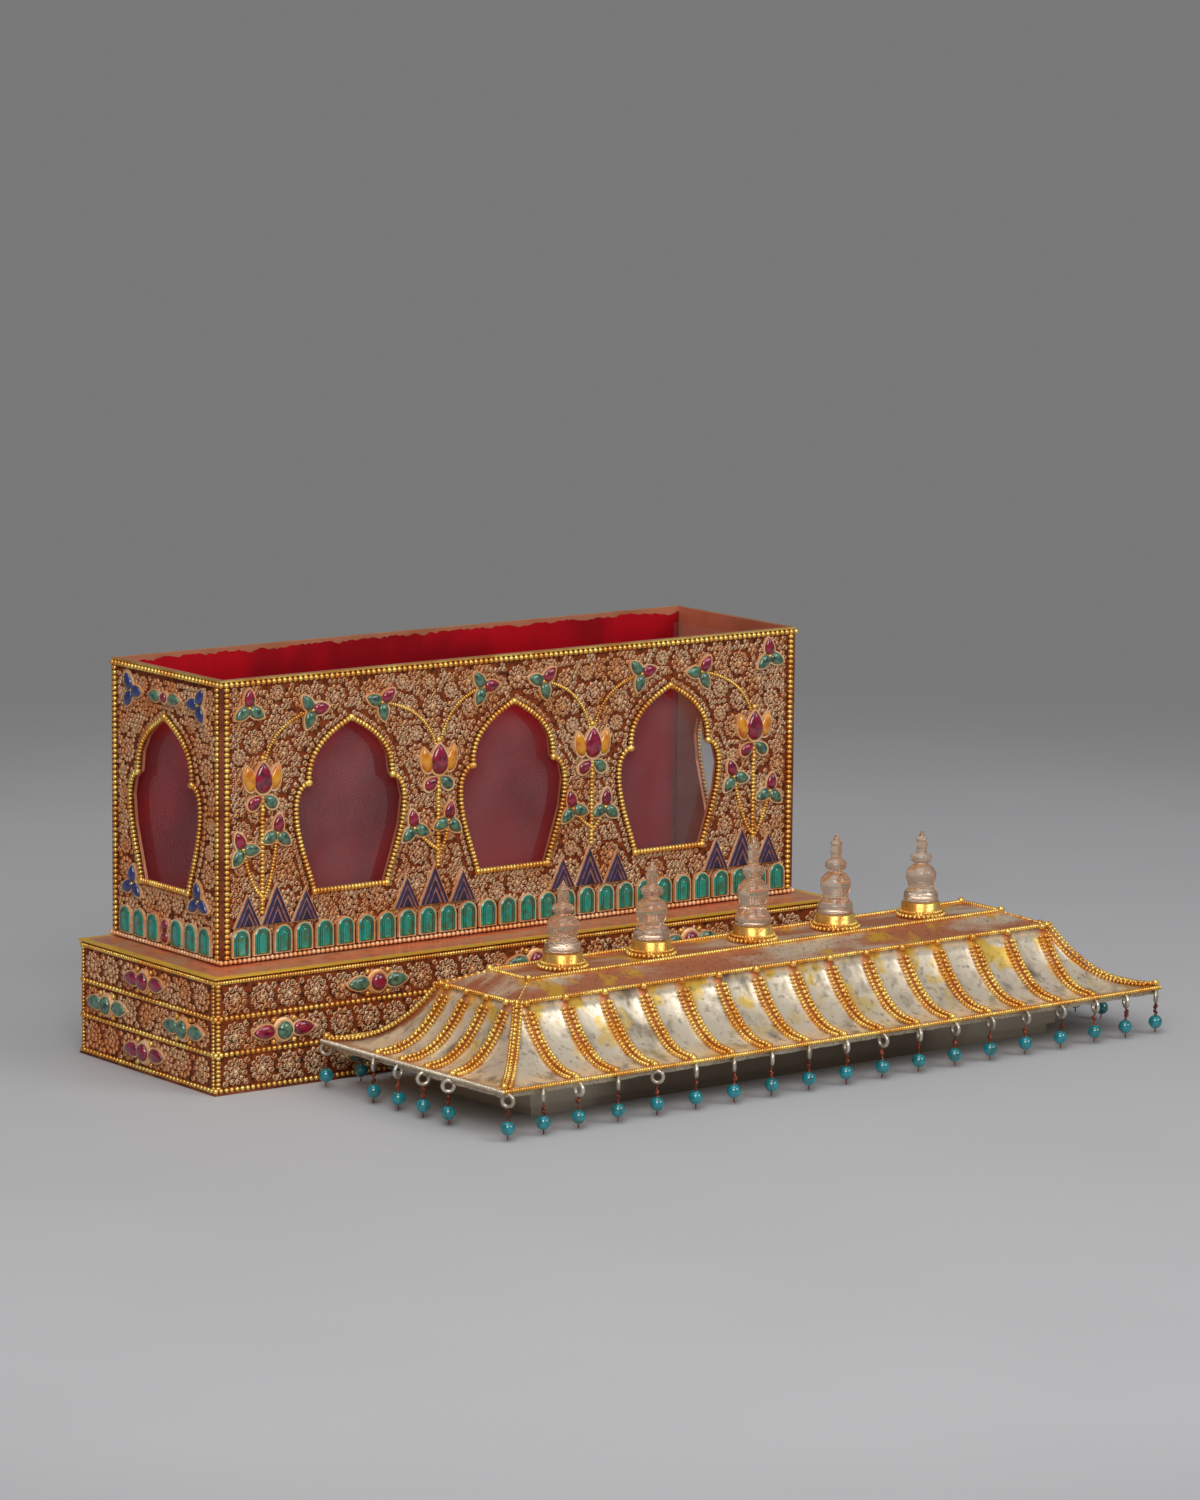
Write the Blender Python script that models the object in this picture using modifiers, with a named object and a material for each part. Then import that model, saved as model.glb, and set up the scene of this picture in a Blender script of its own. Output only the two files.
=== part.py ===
"""Altar box: a jewelled filigree case on a plinth, with its roof-shaped lid set down in front of it.

Metres, +Z up. The origin is the middle of the plinth's underside, and the front faces -Y.
Every face has its own frame: u runs to the right as a viewer sees that face, v runs up and w comes out.
"""
import math

import bmesh
import bpy
from mathutils import Matrix, Vector

# Fits
FIT_GAP = 0.0003
WELD = 0.00001

# Plinth
PLINTH_LENGTH = 0.3584
PLINTH_DEPTH = 0.1154
PLINTH_HEIGHT = 0.0547
DECK_THICKNESS = 0.0008
BAND_COUNT = 3
ROW_HALF_HEIGHT = 0.0012
ROW_PROUD = 0.0012
PLINTH_LOWEST_ROW = 0.0020

# Case, placed off the plinth's middle as the maker soldered it
CASE_LENGTH = 0.3320
CASE_DEPTH = 0.0923
CASE_HEIGHT = 0.1322
CASE_OFFSET_X = 0.0045
CASE_OFFSET_Y = 0.0105
WALL = 0.0020
CASE_FLOOR = 0.0015
EDGING_THICKNESS = 0.0012
EDGING_ROW_HEIGHT = 0.0024
CORNER_POST_WIDTH = 0.0044

# Windows: an ogee arch on cusped shoulders. They fill what the sprays and the rim leave free
WINDOW_COUNT = 3
END_ROOM = 0.0430
SPRAY_ROOM = 0.0321
WINDOW_PITCH = (CASE_LENGTH - 2 * END_ROOM + SPRAY_ROOM) / WINDOW_COUNT
WINDOW_ROW_SHIFT = -0.0030
WIDE_HALF_WIDTH = (WINDOW_PITCH - SPRAY_ROOM) / 2
SILL_STEP = 0.0101
CUSP_STEP = 0.0070
SILL_HALF_WIDTH = WIDE_HALF_WIDTH - SILL_STEP
CUSP_HALF_WIDTH = WIDE_HALF_WIDTH - CUSP_STEP
WINDOW_TOP_MARGIN = 0.0227
OGEE_RISE = 0.0287
SHOULDER_RISE = 0.0114
SILL_Z = 0.0298
APEX_Z = CASE_HEIGHT - WINDOW_TOP_MARGIN
CUSP_Z = APEX_Z - OGEE_RISE
WIDE_Z = CUSP_Z - SHOULDER_RISE
OGEE_POWER = 2.6
OGEE_STEPS = (0.34, 0.6, 0.8)
SWELL_POWER = 1.15
APEX_LAP_FACTOR = 1.5
FRAME_WIRE = 0.0011
WINDOW_LAP = 0.0005

# Glass and velvet
PANE_THICKNESS = 0.0020
PANE_STANDOFF = 0.0018
PANE_BELOW_RIM = 0.0079
VELVET_THICKNESS = 0.0010
VELVET_BELOW_RIM = 0.0030

# Turquoise tiles
TILE_WIDTH = 0.0097
TILE_HEIGHT = 0.0133
TILE_THICKNESS = 0.0024
FRONT_TILES = 28
TILE_PITCH = (CASE_LENGTH - 2 * CORNER_POST_WIDTH - 2 * FIT_GAP - TILE_WIDTH) / (FRONT_TILES - 1)
SIDE_TILE_FIRST = 0.0102
SIDE_TILE_MARGIN = 0.0027
SIDE_TILE_LEAST_PITCH = 0.0110
SIDE_TILE_LAST = CASE_DEPTH / 2 - CORNER_POST_WIDTH - SIDE_TILE_MARGIN - TILE_WIDTH / 2
SIDE_TILE_GAPS = int((SIDE_TILE_LAST - SIDE_TILE_FIRST) / SIDE_TILE_LEAST_PITCH)
SIDE_TILE_PITCH = (SIDE_TILE_LAST - SIDE_TILE_FIRST) / SIDE_TILE_GAPS
TILE_STRIP_HEIGHT = 0.0024
ARCH_STEPS = 4
ROW_STONE = 0.0062

# Lapis peaks
PEAK_END_MARGIN = 0.0303
PEAK_SHIFT = 0.0012
PEAK_PITCH = 0.0160
PEAK_CENTRE_WIDTH = 0.0176
PEAK_SIDE_WIDTH = 0.0152
PEAK_CENTRE_HEIGHT = 0.0195
PEAK_SIDE_HEIGHT = 0.0155
PEAK_THICKNESS = 0.0026
PEAK_EDGE_THICKNESS = 0.0014

# Set stones
GEM_LENGTH = 0.0100
GEM_WIDTH = 0.0062
GEM_HEIGHT = 0.0030
GEM_REACH = 0.0046
GEM_NOTCH = 0.0022
GEM_HALF_ANGLE = 34.0
EDGE_SHARE = 0.55
ROUND_EDGE_SHARE = 0.70
LOTUS_HEART_LENGTH = 0.0150
LOTUS_HEART_WIDTH = 0.0100
PETAL_LENGTH = 0.0125
PETAL_WIDTH = 0.0066
PETAL_OFFSET = 0.0072
PETAL_TILT = 14.0
LOTUS_ABOVE_CUSP = 0.0047
LOTUS_Z = CUSP_Z + LOTUS_ABOVE_CUSP
LOTUS_END_MARGIN = 0.0214
LOTUS_SHIFT = 0.0033
STEM_WIRE = 0.0009
STEM_JOINT = 0.0050
SEPAL_REACH = 0.0042
SEPAL_DROP = 0.0112
SEPAL_TILT = 55.0
HEART_PROUD = 1.2

# Flower sprays, each a lotus place, then upper and lower trefoils. An upper one is given as
# (along, depth below the rim, turn in degrees) and a lower one as (along, height, turn in degrees)
LOTUS_PLACES = (
    LOTUS_END_MARGIN - CASE_LENGTH / 2,
    LOTUS_SHIFT + WINDOW_ROW_SHIFT - WINDOW_PITCH / 2,
    WINDOW_ROW_SHIFT + WINDOW_PITCH / 2,
    CASE_LENGTH / 2 - LOTUS_END_MARGIN - LOTUS_SHIFT,
)
SPRAYS = (
    (((0.0276, 0.0177, 8.0),), ((-0.0106, 0.0530, 114.0), (0.0082, 0.0590, 82.0))),
    (((-0.0323, 0.0172, 40.0), (0.0255, 0.0148, 5.0)), ((-0.0136, 0.0540, 100.0), (0.0057, 0.0560, 80.0))),
    (((-0.0290, 0.0149, 43.0), (0.0291, 0.0159, 15.0)), ((-0.0111, 0.0547, 104.0), (0.0081, 0.0538, 84.0))),
    (((-0.0326, 0.0179, 56.0),), ((-0.0120, 0.0613, 110.0), (0.0103, 0.0523, 80.0))),
)
CORNER_TREFOILS = (("left", -1, 0.0142, 0.0140, 90.0), ("right", 1, 0.0155, 0.0132, 97.0))

# Stones on the case's ends
END_TREFOIL_MARGIN = 0.0177
END_TREFOIL_BELOW_RIM = 0.0137
END_TREFOIL_LOW = 0.0272
END_TREFOIL_LEAN_HIGH = 30.0
END_TREFOIL_LEAN_LOW = -5.0
END_ROW_SPACING = 0.0084

# Stone triplets on the plinth, as places along each band
CLUSTER_ROUND = 0.0112
CLUSTER_ROUND_HEIGHT = 0.0046
CLUSTER_DROP_LENGTH = 0.0125
CLUSTER_DROP_WIDTH = 0.0076
CLUSTER_DROP_HEIGHT = 0.0034
CLUSTER_DROP_OFFSET = 0.0106
TRIPLET_NECK = 0.92
TRIPLET_NECK_WIDTH = 0.62
FRONT_CLUSTERS = (
    ("low", 0, (-0.0910, 0.0910)),
    ("middle", 1, (-0.1430, -0.0480, 0.0480, 0.1430)),
    ("high", 2, (-0.0910, -0.0005, 0.0910)),
)
LEFT_CLUSTERS = (("low", 0, (-0.0005,)), ("middle", 1, (-0.0330, 0.0330)), ("high", 2, (-0.0005,)))
RIGHT_CLUSTERS = (("middle", 1, (-0.0330, 0.0330)),)

# Lid, lying on its collar in front of the plinth
LID_X = 0.0711
LID_TURN = 1.86
LID_CLEARANCE = 0.0058
EAVE_LENGTH = 0.4007
EAVE_DEPTH = 0.1389
LID_Y = -(PLINTH_DEPTH + EAVE_DEPTH) / 2 - LID_CLEARANCE
EAVE_Z = 0.0225
EAVE_WIRE = 0.0012
DECK_EDGE_LENGTH = 0.3224
DECK_EDGE_DEPTH = 0.0568
DECK_EDGE_Z = 0.0503
SHEET = 0.0010
SWEEP_POWER = 2.6
SWEEP_STEPS = (0.0, 0.20, 0.50, 1.0)
RIB_COUNT = 15
RIB_PITCH = 0.0224
END_RIB_COUNT = 4
END_RIB_TOP_PITCH = 0.0147
END_RIB_FOOT_PITCH = 0.0187
RIB_HALF_WIDTH = 0.0030
RIB_HEIGHT = 0.0018
HIP_CLEARANCE = 0.0011
HIP_FLANK_TOP = 0.0007
HIP_FLANK_FOOT = 0.0040
PLATFORM_LENGTH = 0.2880
PLATFORM_DEPTH = 0.0287
PLATFORM_Z = 0.0576
COLLAR_LENGTH = 0.3200
COLLAR_DEPTH = 0.0740
COLLAR_WALL = 0.0012
COLLAR_BAND_Z = 0.0050
COLLAR_LIP_STEP = 0.0030
COLLAR_BELOW_ROOF = 0.0022

# Stupas: place along the ridge, height
STUPAS = ((-0.1130, 0.0330), (-0.0610, 0.0370), (0.0, 0.0420), (0.0510, 0.0380), (0.1050, 0.0340))
STUPA_SHARES = (
    (0.030, 0.995),
    (0.085, 0.90),
    (0.130, 0.86),
    (0.125, 0.70),
    (0.285, 0.645),
    (0.270, 0.565),
    (0.185, 0.52),
    (0.400, 0.38),
    (0.345, 0.20),
    (0.460, 0.12),
    (0.460, 0.0),
)
STUPA_GIRTH = 0.0182
BASE_RING = 0.0124
BASE_RING_HEIGHT = 0.0026
BASE_NECK = 0.0093
BASE_HEIGHT = 0.0073
TURNED_STEPS = 8

# Drops under the eave
DROP_WIRE = 0.0007
DROP_BEAD = 0.00335
DROP_BEAD_Z = 0.0060
DROP_SIDES = 5
CORNER_DROP_INSET = 0.0025

# Working values that follow from the sizes above
PLINTH_BODY_TOP = PLINTH_HEIGHT - DECK_THICKNESS - FIT_GAP
PLINTH_HIGHEST_ROW = PLINTH_BODY_TOP - ROW_HALF_HEIGHT - FIT_GAP
BAND_PITCH = (PLINTH_HIGHEST_ROW - PLINTH_LOWEST_ROW) / BAND_COUNT
CASE_BASE = PLINTH_HEIGHT + FIT_GAP
CASE_WALL_HEIGHT = CASE_HEIGHT - FIT_GAP
TILE_FOOT = EDGING_ROW_HEIGHT + 2 * FIT_GAP
PEAK_FOOT = TILE_FOOT + TILE_HEIGHT + FIT_GAP
SHEET_LENGTH = EAVE_LENGTH - 4 * EAVE_WIRE - 2 * HIP_CLEARANCE
SHEET_DEPTH = EAVE_DEPTH - 4 * EAVE_WIRE - 2 * HIP_CLEARANCE
PEAK_PLACES = (
    PEAK_END_MARGIN - PEAK_SHIFT - CASE_LENGTH / 2,
    WINDOW_ROW_SHIFT + PEAK_SHIFT - WINDOW_PITCH / 2,
    WINDOW_ROW_SHIFT - PEAK_SHIFT + WINDOW_PITCH / 2,
    CASE_LENGTH / 2 - PEAK_END_MARGIN - PEAK_SHIFT,
)
LID_MATRIX = Matrix.Translation((LID_X, LID_Y, 0)) @ Matrix.Rotation(math.radians(LID_TURN), 4, "Z")


# Scene and materials


def clear_scene():
    for old in list(bpy.data.objects):
        bpy.data.objects.remove(old, do_unlink=True)


def new_collection(name):
    group = bpy.data.collections.new(name)
    bpy.context.scene.collection.children.link(group)
    return group


def material(name, colour, roughness, metallic=0.0, alpha=1.0):
    finish = bpy.data.materials.new(name)
    finish.use_nodes = True
    shader = finish.node_tree.nodes["Principled BSDF"]
    shader.inputs["Base Color"].default_value = (*colour, 1.0)
    shader.inputs["Roughness"].default_value = roughness
    shader.inputs["Metallic"].default_value = metallic
    shader.inputs["Alpha"].default_value = alpha
    finish.diffuse_color = (*colour, alpha)
    return finish


def add_part(name, mesh, finish):
    """One named object of the altar box."""
    mesh.name = name
    mesh.materials.clear()
    mesh.materials.append(finish)
    part = bpy.data.objects.new(name, mesh)
    PARTS.objects.link(part)
    return part


def add_cutter(name, mesh):
    cutter = bpy.data.objects.new(name, mesh)
    cutter.hide_render = True
    cutter.display_type = "WIRE"
    CUTTERS.objects.link(cutter)
    return cutter


def cut(part, cutter):
    modifier = part.modifiers.new(cutter.name, "BOOLEAN")
    modifier.operation = "DIFFERENCE"
    modifier.solver = "EXACT"
    modifier.object = cutter


# Mesh tools


def to_mesh(bm, name="piece"):
    mesh = bpy.data.meshes.new(name)
    bm.to_mesh(mesh)
    bm.free()
    return mesh


def baked(source):
    """The evaluated mesh of a working object, which is removed."""
    bpy.context.view_layer.update()
    graph = bpy.context.evaluated_depsgraph_get()
    mesh = bpy.data.meshes.new_from_object(source.evaluated_get(graph), depsgraph=graph)
    bpy.data.objects.remove(source, do_unlink=True)
    return mesh


def welded(mesh):
    """The same mesh with its caps joined on."""
    bm = bmesh.new()
    bm.from_mesh(mesh)
    bmesh.ops.remove_doubles(bm, verts=bm.verts, dist=WELD)
    bmesh.ops.recalc_face_normals(bm, faces=bm.faces)
    bm.to_mesh(mesh)
    bm.free()
    return mesh


def block(low, high):
    """A box between two corners."""
    bm = bmesh.new()
    bmesh.ops.create_cube(bm, size=1.0)
    size = Vector(high) - Vector(low)
    bmesh.ops.scale(bm, vec=size, verts=bm.verts)
    bmesh.ops.translate(bm, vec=(Vector(high) + Vector(low)) / 2, verts=bm.verts)
    return to_mesh(bm)


def rectangle(length, depth):
    x = length / 2
    y = depth / 2
    return [(-x, -y), (x, -y), (x, y), (-x, y)]


def outline_prism(loops, low, high):
    """A flat outline, with holes where there are further loops, between two heights."""
    curve = bpy.data.curves.new("outline", "CURVE")
    curve.dimensions = "2D"
    curve.fill_mode = "BOTH"
    curve.extrude = (high - low) / 2
    for loop in loops:
        spline = curve.splines.new("POLY")
        spline.points.add(len(loop) - 1)
        spline.use_cyclic_u = True
        for point, (x, y) in zip(spline.points, loop):
            point.co = (x, y, 0, 1)
    source = bpy.data.objects.new("outline", curve)
    bpy.context.scene.collection.objects.link(source)
    mesh = welded(baked(source))
    mesh.transform(Matrix.Translation((0, 0, (high + low) / 2)))
    return mesh


def wire(points, radius, closed=False):
    """A soldered wire through the given points, square in section."""
    curve = bpy.data.curves.new("wire", "CURVE")
    curve.dimensions = "3D"
    curve.bevel_depth = radius
    curve.bevel_resolution = 0
    curve.use_fill_caps = not closed
    spline = curve.splines.new("POLY")
    spline.points.add(len(points) - 1)
    spline.use_cyclic_u = closed
    for point, place in zip(spline.points, points):
        point.co = (*place, 1)
    source = bpy.data.objects.new("wire", curve)
    bpy.context.scene.collection.objects.link(source)
    return welded(baked(source))


def turned(profile, steps):
    """A shape turned about Z from a profile of (radius, height), listed from the top down."""
    bm = bmesh.new()
    points = [bm.verts.new((radius, 0, height)) for radius, height in profile]
    for above, below in zip(points, points[1:]):
        bm.edges.new((above, below))
    source = bpy.data.objects.new("turned", to_mesh(bm))
    bpy.context.scene.collection.objects.link(source)
    screw = source.modifiers.new("turn", "SCREW")
    screw.angle = math.tau
    screw.steps = steps
    screw.render_steps = steps
    screw.use_merge_vertices = True
    screw.merge_threshold = WELD
    return welded(baked(source))


def stacked(levels):
    """A block of rectangular levels, each (height, length, depth), pulled up one from another."""
    bm = bmesh.new()
    bmesh.ops.create_grid(bm, x_segments=1, y_segments=1, size=1.0)
    top = bm.faces[:][0]
    for number, (height, length, depth) in enumerate(levels):
        if number:
            made = bmesh.ops.extrude_face_region(bm, geom=[top])
            if number > 1:
                bmesh.ops.delete(bm, geom=[top], context="FACES_ONLY")
            top = next(item for item in made["geom"] if isinstance(item, bmesh.types.BMFace))
        for corner in top.verts:
            corner.co.x = math.copysign(length / 2, corner.co.x)
            corner.co.y = math.copysign(depth / 2, corner.co.y)
            corner.co.z = height
    bmesh.ops.recalc_face_normals(bm, faces=bm.faces)
    return to_mesh(bm)


def fused(meshes):
    """One body from pieces that really touch."""
    whole = meshes[0]
    for mesh in meshes[1:]:
        base = bpy.data.objects.new("base", whole)
        piece = bpy.data.objects.new("piece", mesh)
        bpy.context.scene.collection.objects.link(base)
        bpy.context.scene.collection.objects.link(piece)
        union = base.modifiers.new("fuse", "BOOLEAN")
        union.operation = "UNION"
        union.solver = "MANIFOLD"
        union.object = piece
        whole = baked(base)
        bpy.data.objects.remove(piece, do_unlink=True)
    return whole


def moved(mesh, matrix):
    """A copy of a mesh at another place."""
    copy = mesh.copy()
    copy.transform(matrix)
    return copy


def place_at(u, v, w=0.0, turn=0.0):
    """A place on a face; turn is in degrees from the direction of u."""
    return Matrix.Translation((u, v, w)) @ Matrix.Rotation(math.radians(turn), 4, "Z")


# Face frames


def face_frame(origin, outward):
    out = Vector(outward)
    up = Vector((0, 0, 1))
    right = up.cross(out)
    frame = Matrix((right, up, out)).transposed().to_4x4()
    return Matrix.Translation(origin) @ frame


def box_faces(centre_x, centre_y, base, length, depth):
    return {
        "front": face_frame((centre_x, centre_y - depth / 2, base), (0, -1, 0)),
        "back": face_frame((centre_x, centre_y + depth / 2, base), (0, 1, 0)),
        "left": face_frame((centre_x - length / 2, centre_y, base), (-1, 0, 0)),
        "right": face_frame((centre_x + length / 2, centre_y, base), (1, 0, 0)),
    }


CASE_FACES = box_faces(CASE_OFFSET_X, CASE_OFFSET_Y, CASE_BASE, CASE_LENGTH, CASE_DEPTH)
PLINTH_FACES = box_faces(0, 0, 0, PLINTH_LENGTH, PLINTH_DEPTH)


# Stones


def pulled_up(bm, wall_height, crown_heights, notches=()):
    """Raises a flat outline to a wall, parts its top between notches and domes each lobe.

    Lobes take the crown heights from left to right.
    """
    made = bmesh.ops.extrude_face_region(bm, geom=[bm.faces[:][0]])
    top = next(item for item in made["geom"] if isinstance(item, bmesh.types.BMFace))
    for corner in top.verts:
        corner.co.z = wall_height
    bm.verts.index_update()
    rim = sorted(top.verts, key=lambda corner: corner.index)
    for one, other in notches:
        bmesh.ops.connect_verts(bm, verts=[rim[one], rim[other]])
    lobes = [face for face in bm.faces if min(corner.co.z for corner in face.verts) > wall_height / 2]
    lobes = [face for face in lobes if len(face.verts) > 3 or not notches]
    lobes.sort(key=lambda face: face.calc_center_median().x)
    for lobe, height in zip(lobes, crown_heights):
        crown = bmesh.ops.poke(bm, faces=[lobe])["verts"][0]
        crown.co.z = height
    bmesh.ops.recalc_face_normals(bm, faces=bm.faces)
    return to_mesh(bm)


def flat_outline(points):
    """A flat face through points, pulled into place from a round one."""
    bm = bmesh.new()
    bmesh.ops.create_circle(bm, cap_ends=True, segments=len(points), radius=1.0)
    for corner, (x, y) in zip(bm.verts, points):
        corner.co = (x, y, 0)
    return bm


def teardrop(length, width, height):
    """A pointed cabochon along +X, its round end at -X, standing on w = 0."""
    sides = 6
    widest = math.sin(math.radians(120)) * math.sin(math.radians(60))
    points = []
    for number in range(sides):
        angle = math.tau * number / sides
        across = math.sin(angle) * abs(math.sin(angle / 2)) / widest
        points.append((length / 2 * math.cos(angle), width / 2 * across))
    return pulled_up(flat_outline(points), height * EDGE_SHARE, [height])


def round_stone(diameter, height, sides=6):
    points = [
        (diameter / 2 * math.cos(math.tau * n / sides), diameter / 2 * math.sin(math.tau * n / sides))
        for n in range(sides)
    ]
    return pulled_up(flat_outline(points), height * ROUND_EDGE_SHARE, [height])


def trefoil(u, v, turn):
    """Three teardrops that meet at their round ends."""
    points = []
    reach = GEM_REACH + GEM_LENGTH / 2
    for third in range(3):
        for radius, angle in (
            (reach, 0),
            (GEM_REACH, GEM_HALF_ANGLE),
            (GEM_NOTCH, 60),
            (GEM_REACH, 120 - GEM_HALF_ANGLE),
        ):
            direction = math.radians(120.0 * third + angle)
            points.append((radius * math.cos(direction), radius * math.sin(direction)))
    notches = ((2, 6), (6, 10), (10, 2))
    mesh = pulled_up(flat_outline(points), GEM_HEIGHT * EDGE_SHARE, [GEM_HEIGHT] * 3, notches)
    return moved(mesh, place_at(u, v, FIT_GAP, turn))


def stone_triplet(heart, heart_height, drop_length, drop_width, drop_height, drop_offset):
    """A round stone between two teardrops that point away from it."""
    half = drop_width / 2
    shoulder = drop_offset
    tip = drop_offset + drop_length / 2
    neck = heart / 2 * TRIPLET_NECK
    neck_half = half * TRIPLET_NECK_WIDTH
    round_half = neck
    round_at = heart / 4
    upper = [(shoulder, half), (neck, neck_half), (round_at, round_half), (-round_at, round_half)]
    upper += [(-neck, neck_half), (-shoulder, half)]
    lower = [(u, -v) for u, v in reversed(upper)]
    points = [(tip, 0)] + upper + [(-tip, 0)] + lower
    heights = [drop_height, heart_height, drop_height]
    return pulled_up(flat_outline(points), drop_height * EDGE_SHARE, heights, ((2, 12), (5, 9)))


def stem(points):
    """A wire that lies just off the face."""
    height = 3 * FIT_GAP + STEM_WIRE
    return wire([(u, v, height) for u, v in points], STEM_WIRE)


def swept(start, bend, end, steps=3):
    """Points along a curve that leaves start towards bend and arrives at end."""
    points = []
    for step in range(steps + 1):
        t = step / steps
        u = (1 - t) ** 2 * start[0] + 2 * t * (1 - t) * bend[0] + t * t * end[0]
        v = (1 - t) ** 2 * start[1] + 2 * t * (1 - t) * bend[1] + t * t * end[1]
        points.append((u, v))
    return points


def peak_top(u):
    """The height of the lapis peaks at a place along the front."""
    top = 0.0
    for centre in PEAK_PLACES:
        for side in (-1, 0, 1):
            half = (PEAK_SIDE_WIDTH if side else PEAK_CENTRE_WIDTH) / 2
            height = PEAK_SIDE_HEIGHT if side else PEAK_CENTRE_HEIGHT
            away = abs(u - centre - side * PEAK_PITCH) / half
            top = max(top, height * (1 - away))
    return PEAK_FOOT + top


def flower_spray(lotus, upper, lower):
    """A lotus on a wire stem, with trefoils on side stems and on branches above."""
    heart = teardrop(LOTUS_HEART_LENGTH, LOTUS_HEART_WIDTH, GEM_HEIGHT * HEART_PROUD)
    petal = teardrop(PETAL_LENGTH, PETAL_WIDTH, GEM_HEIGHT)
    sepal = teardrop(GEM_LENGTH, GEM_WIDTH, GEM_HEIGHT)
    foot = max(peak_top(lotus - STEM_WIRE), peak_top(lotus + STEM_WIRE)) + 2 * STEM_WIRE
    pieces = [moved(heart, place_at(lotus, LOTUS_Z, 2 * FIT_GAP, 90))]
    pieces.append(stem([(lotus, LOTUS_Z - PETAL_OFFSET / 2), (lotus, foot)]))
    for side in (-1, 1):
        turn = 90 - side * PETAL_TILT
        pieces.append(moved(petal, place_at(lotus + side * PETAL_OFFSET, LOTUS_Z, FIT_GAP, turn)))
        turn = 90 + side * SEPAL_TILT
        low = LOTUS_Z - SEPAL_DROP
        pieces.append(moved(sepal, place_at(lotus + side * SEPAL_REACH, low, FIT_GAP, turn)))
    for along, high, turn in lower:
        side = math.copysign(1, along)
        pieces.append(trefoil(lotus + along, high, turn))
        joint = (lotus, foot + STEM_JOINT * (1 + (1 - side) / 4))
        bend = (lotus + side * STEM_JOINT, foot + 2 * STEM_JOINT)
        pieces.append(stem(swept((lotus + along, high), bend, joint, steps=2)))
    for along, below_rim, turn in upper:
        high = CASE_HEIGHT - below_rim
        pieces.append(trefoil(lotus + along, high, turn))
        bend = (lotus + 0.1 * along, high - GEM_REACH)
        pieces.append(stem(swept((lotus, LOTUS_Z), bend, (lotus + along, high), steps=3)))
    return fused(pieces)


# Plinth


def add_plinth():
    levels = [(0, PLINTH_LENGTH, PLINTH_DEPTH)]
    proud = 2 * ROW_PROUD
    for row in range(BAND_COUNT + 1):
        middle = PLINTH_LOWEST_ROW + row * BAND_PITCH
        for step, out in ((-1.0, 0), (-0.5, proud), (0.5, proud), (1.0, 0)):
            height = middle + step * ROW_HALF_HEIGHT
            levels.append((height, PLINTH_LENGTH + out, PLINTH_DEPTH + out))
    levels.append((PLINTH_BODY_TOP, PLINTH_LENGTH, PLINTH_DEPTH))
    add_part("plinth", stacked(levels), COPPER)


def add_plinth_deck():
    length = PLINTH_LENGTH + 2 * ROW_PROUD
    depth = PLINTH_DEPTH + 2 * ROW_PROUD
    low = PLINTH_BODY_TOP + FIT_GAP
    mesh = outline_prism([rectangle(length, depth)], low, PLINTH_HEIGHT)
    add_part("plinth_deck", mesh, COPPER)


def add_plinth_clusters():
    cluster = stone_triplet(
        CLUSTER_ROUND,
        CLUSTER_ROUND_HEIGHT,
        CLUSTER_DROP_LENGTH,
        CLUSTER_DROP_WIDTH,
        CLUSTER_DROP_HEIGHT,
        CLUSTER_DROP_OFFSET,
    )
    for face, bands in (("front", FRONT_CLUSTERS), ("left", LEFT_CLUSTERS), ("right", RIGHT_CLUSTERS)):
        for band_name, band, places in bands:
            high = PLINTH_LOWEST_ROW + (band + 0.5) * BAND_PITCH
            for number, along in enumerate(places, 1):
                mesh = moved(cluster, PLINTH_FACES[face] @ place_at(along, high, FIT_GAP))
                add_part(f"plinth_stones_{face}_{band_name}_{number}", mesh, RUBY)


# Case


def window_outline(centre, lap=0.0):
    """The ogee outline about a centre line, drawn in by lap."""
    sill = SILL_HALF_WIDTH - lap
    wide = WIDE_HALF_WIDTH - lap
    cusp = CUSP_HALF_WIDTH - lap
    half = []
    for step in range(4):
        t = step / 3
        swell = math.sin(math.pi / 2 * t**SWELL_POWER)
        half.append((sill + (wide - sill) * swell, SILL_Z + lap + (WIDE_Z - SILL_Z - lap) * t))
    for step in (1, 2):
        angle = math.pi / 4 * step
        u = cusp + (wide - cusp) * math.cos(angle)
        half.append((u, WIDE_Z + (CUSP_Z - WIDE_Z) * math.sin(angle)))
    for t in OGEE_STEPS:
        half.append((cusp * (1 - t**OGEE_POWER), CUSP_Z + (APEX_Z - CUSP_Z) * t))
    apex = (centre, APEX_Z - APEX_LAP_FACTOR * lap)
    right = [(centre + u, v) for u, v in half]
    left = [(centre - u, v) for u, v in reversed(half)]
    return right + [apex] + left


def window_places():
    """Name, face and centre of each window."""
    places = []
    for number in range(WINDOW_COUNT):
        centre = WINDOW_ROW_SHIFT + (number - (WINDOW_COUNT - 1) / 2) * WINDOW_PITCH
        places.append((f"front_{number + 1}", "front", centre))
    return places + [("left", "left", 0.0), ("right", "right", 0.0)]


def add_case():
    x = CASE_LENGTH / 2
    y = CASE_DEPTH / 2
    top = CASE_BASE + CASE_WALL_HEIGHT
    here = Matrix.Translation((CASE_OFFSET_X, CASE_OFFSET_Y, 0))
    case = add_part("case", moved(block((-x, -y, CASE_BASE), (x, y, top)), here), COPPER)
    low = (-x + WALL, -y + WALL, CASE_BASE + CASE_FLOOR)
    high = (x - WALL, y - WALL, top + WALL)
    cut(case, add_cutter("case_hollow", moved(block(low, high), here)))
    for name, face, centre in window_places():
        hole = outline_prism([window_outline(centre, WINDOW_LAP)], -2 * WALL, WALL)
        hole.transform(CASE_FACES[face])
        cut(case, add_cutter(f"window_{name}", hole))


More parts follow.
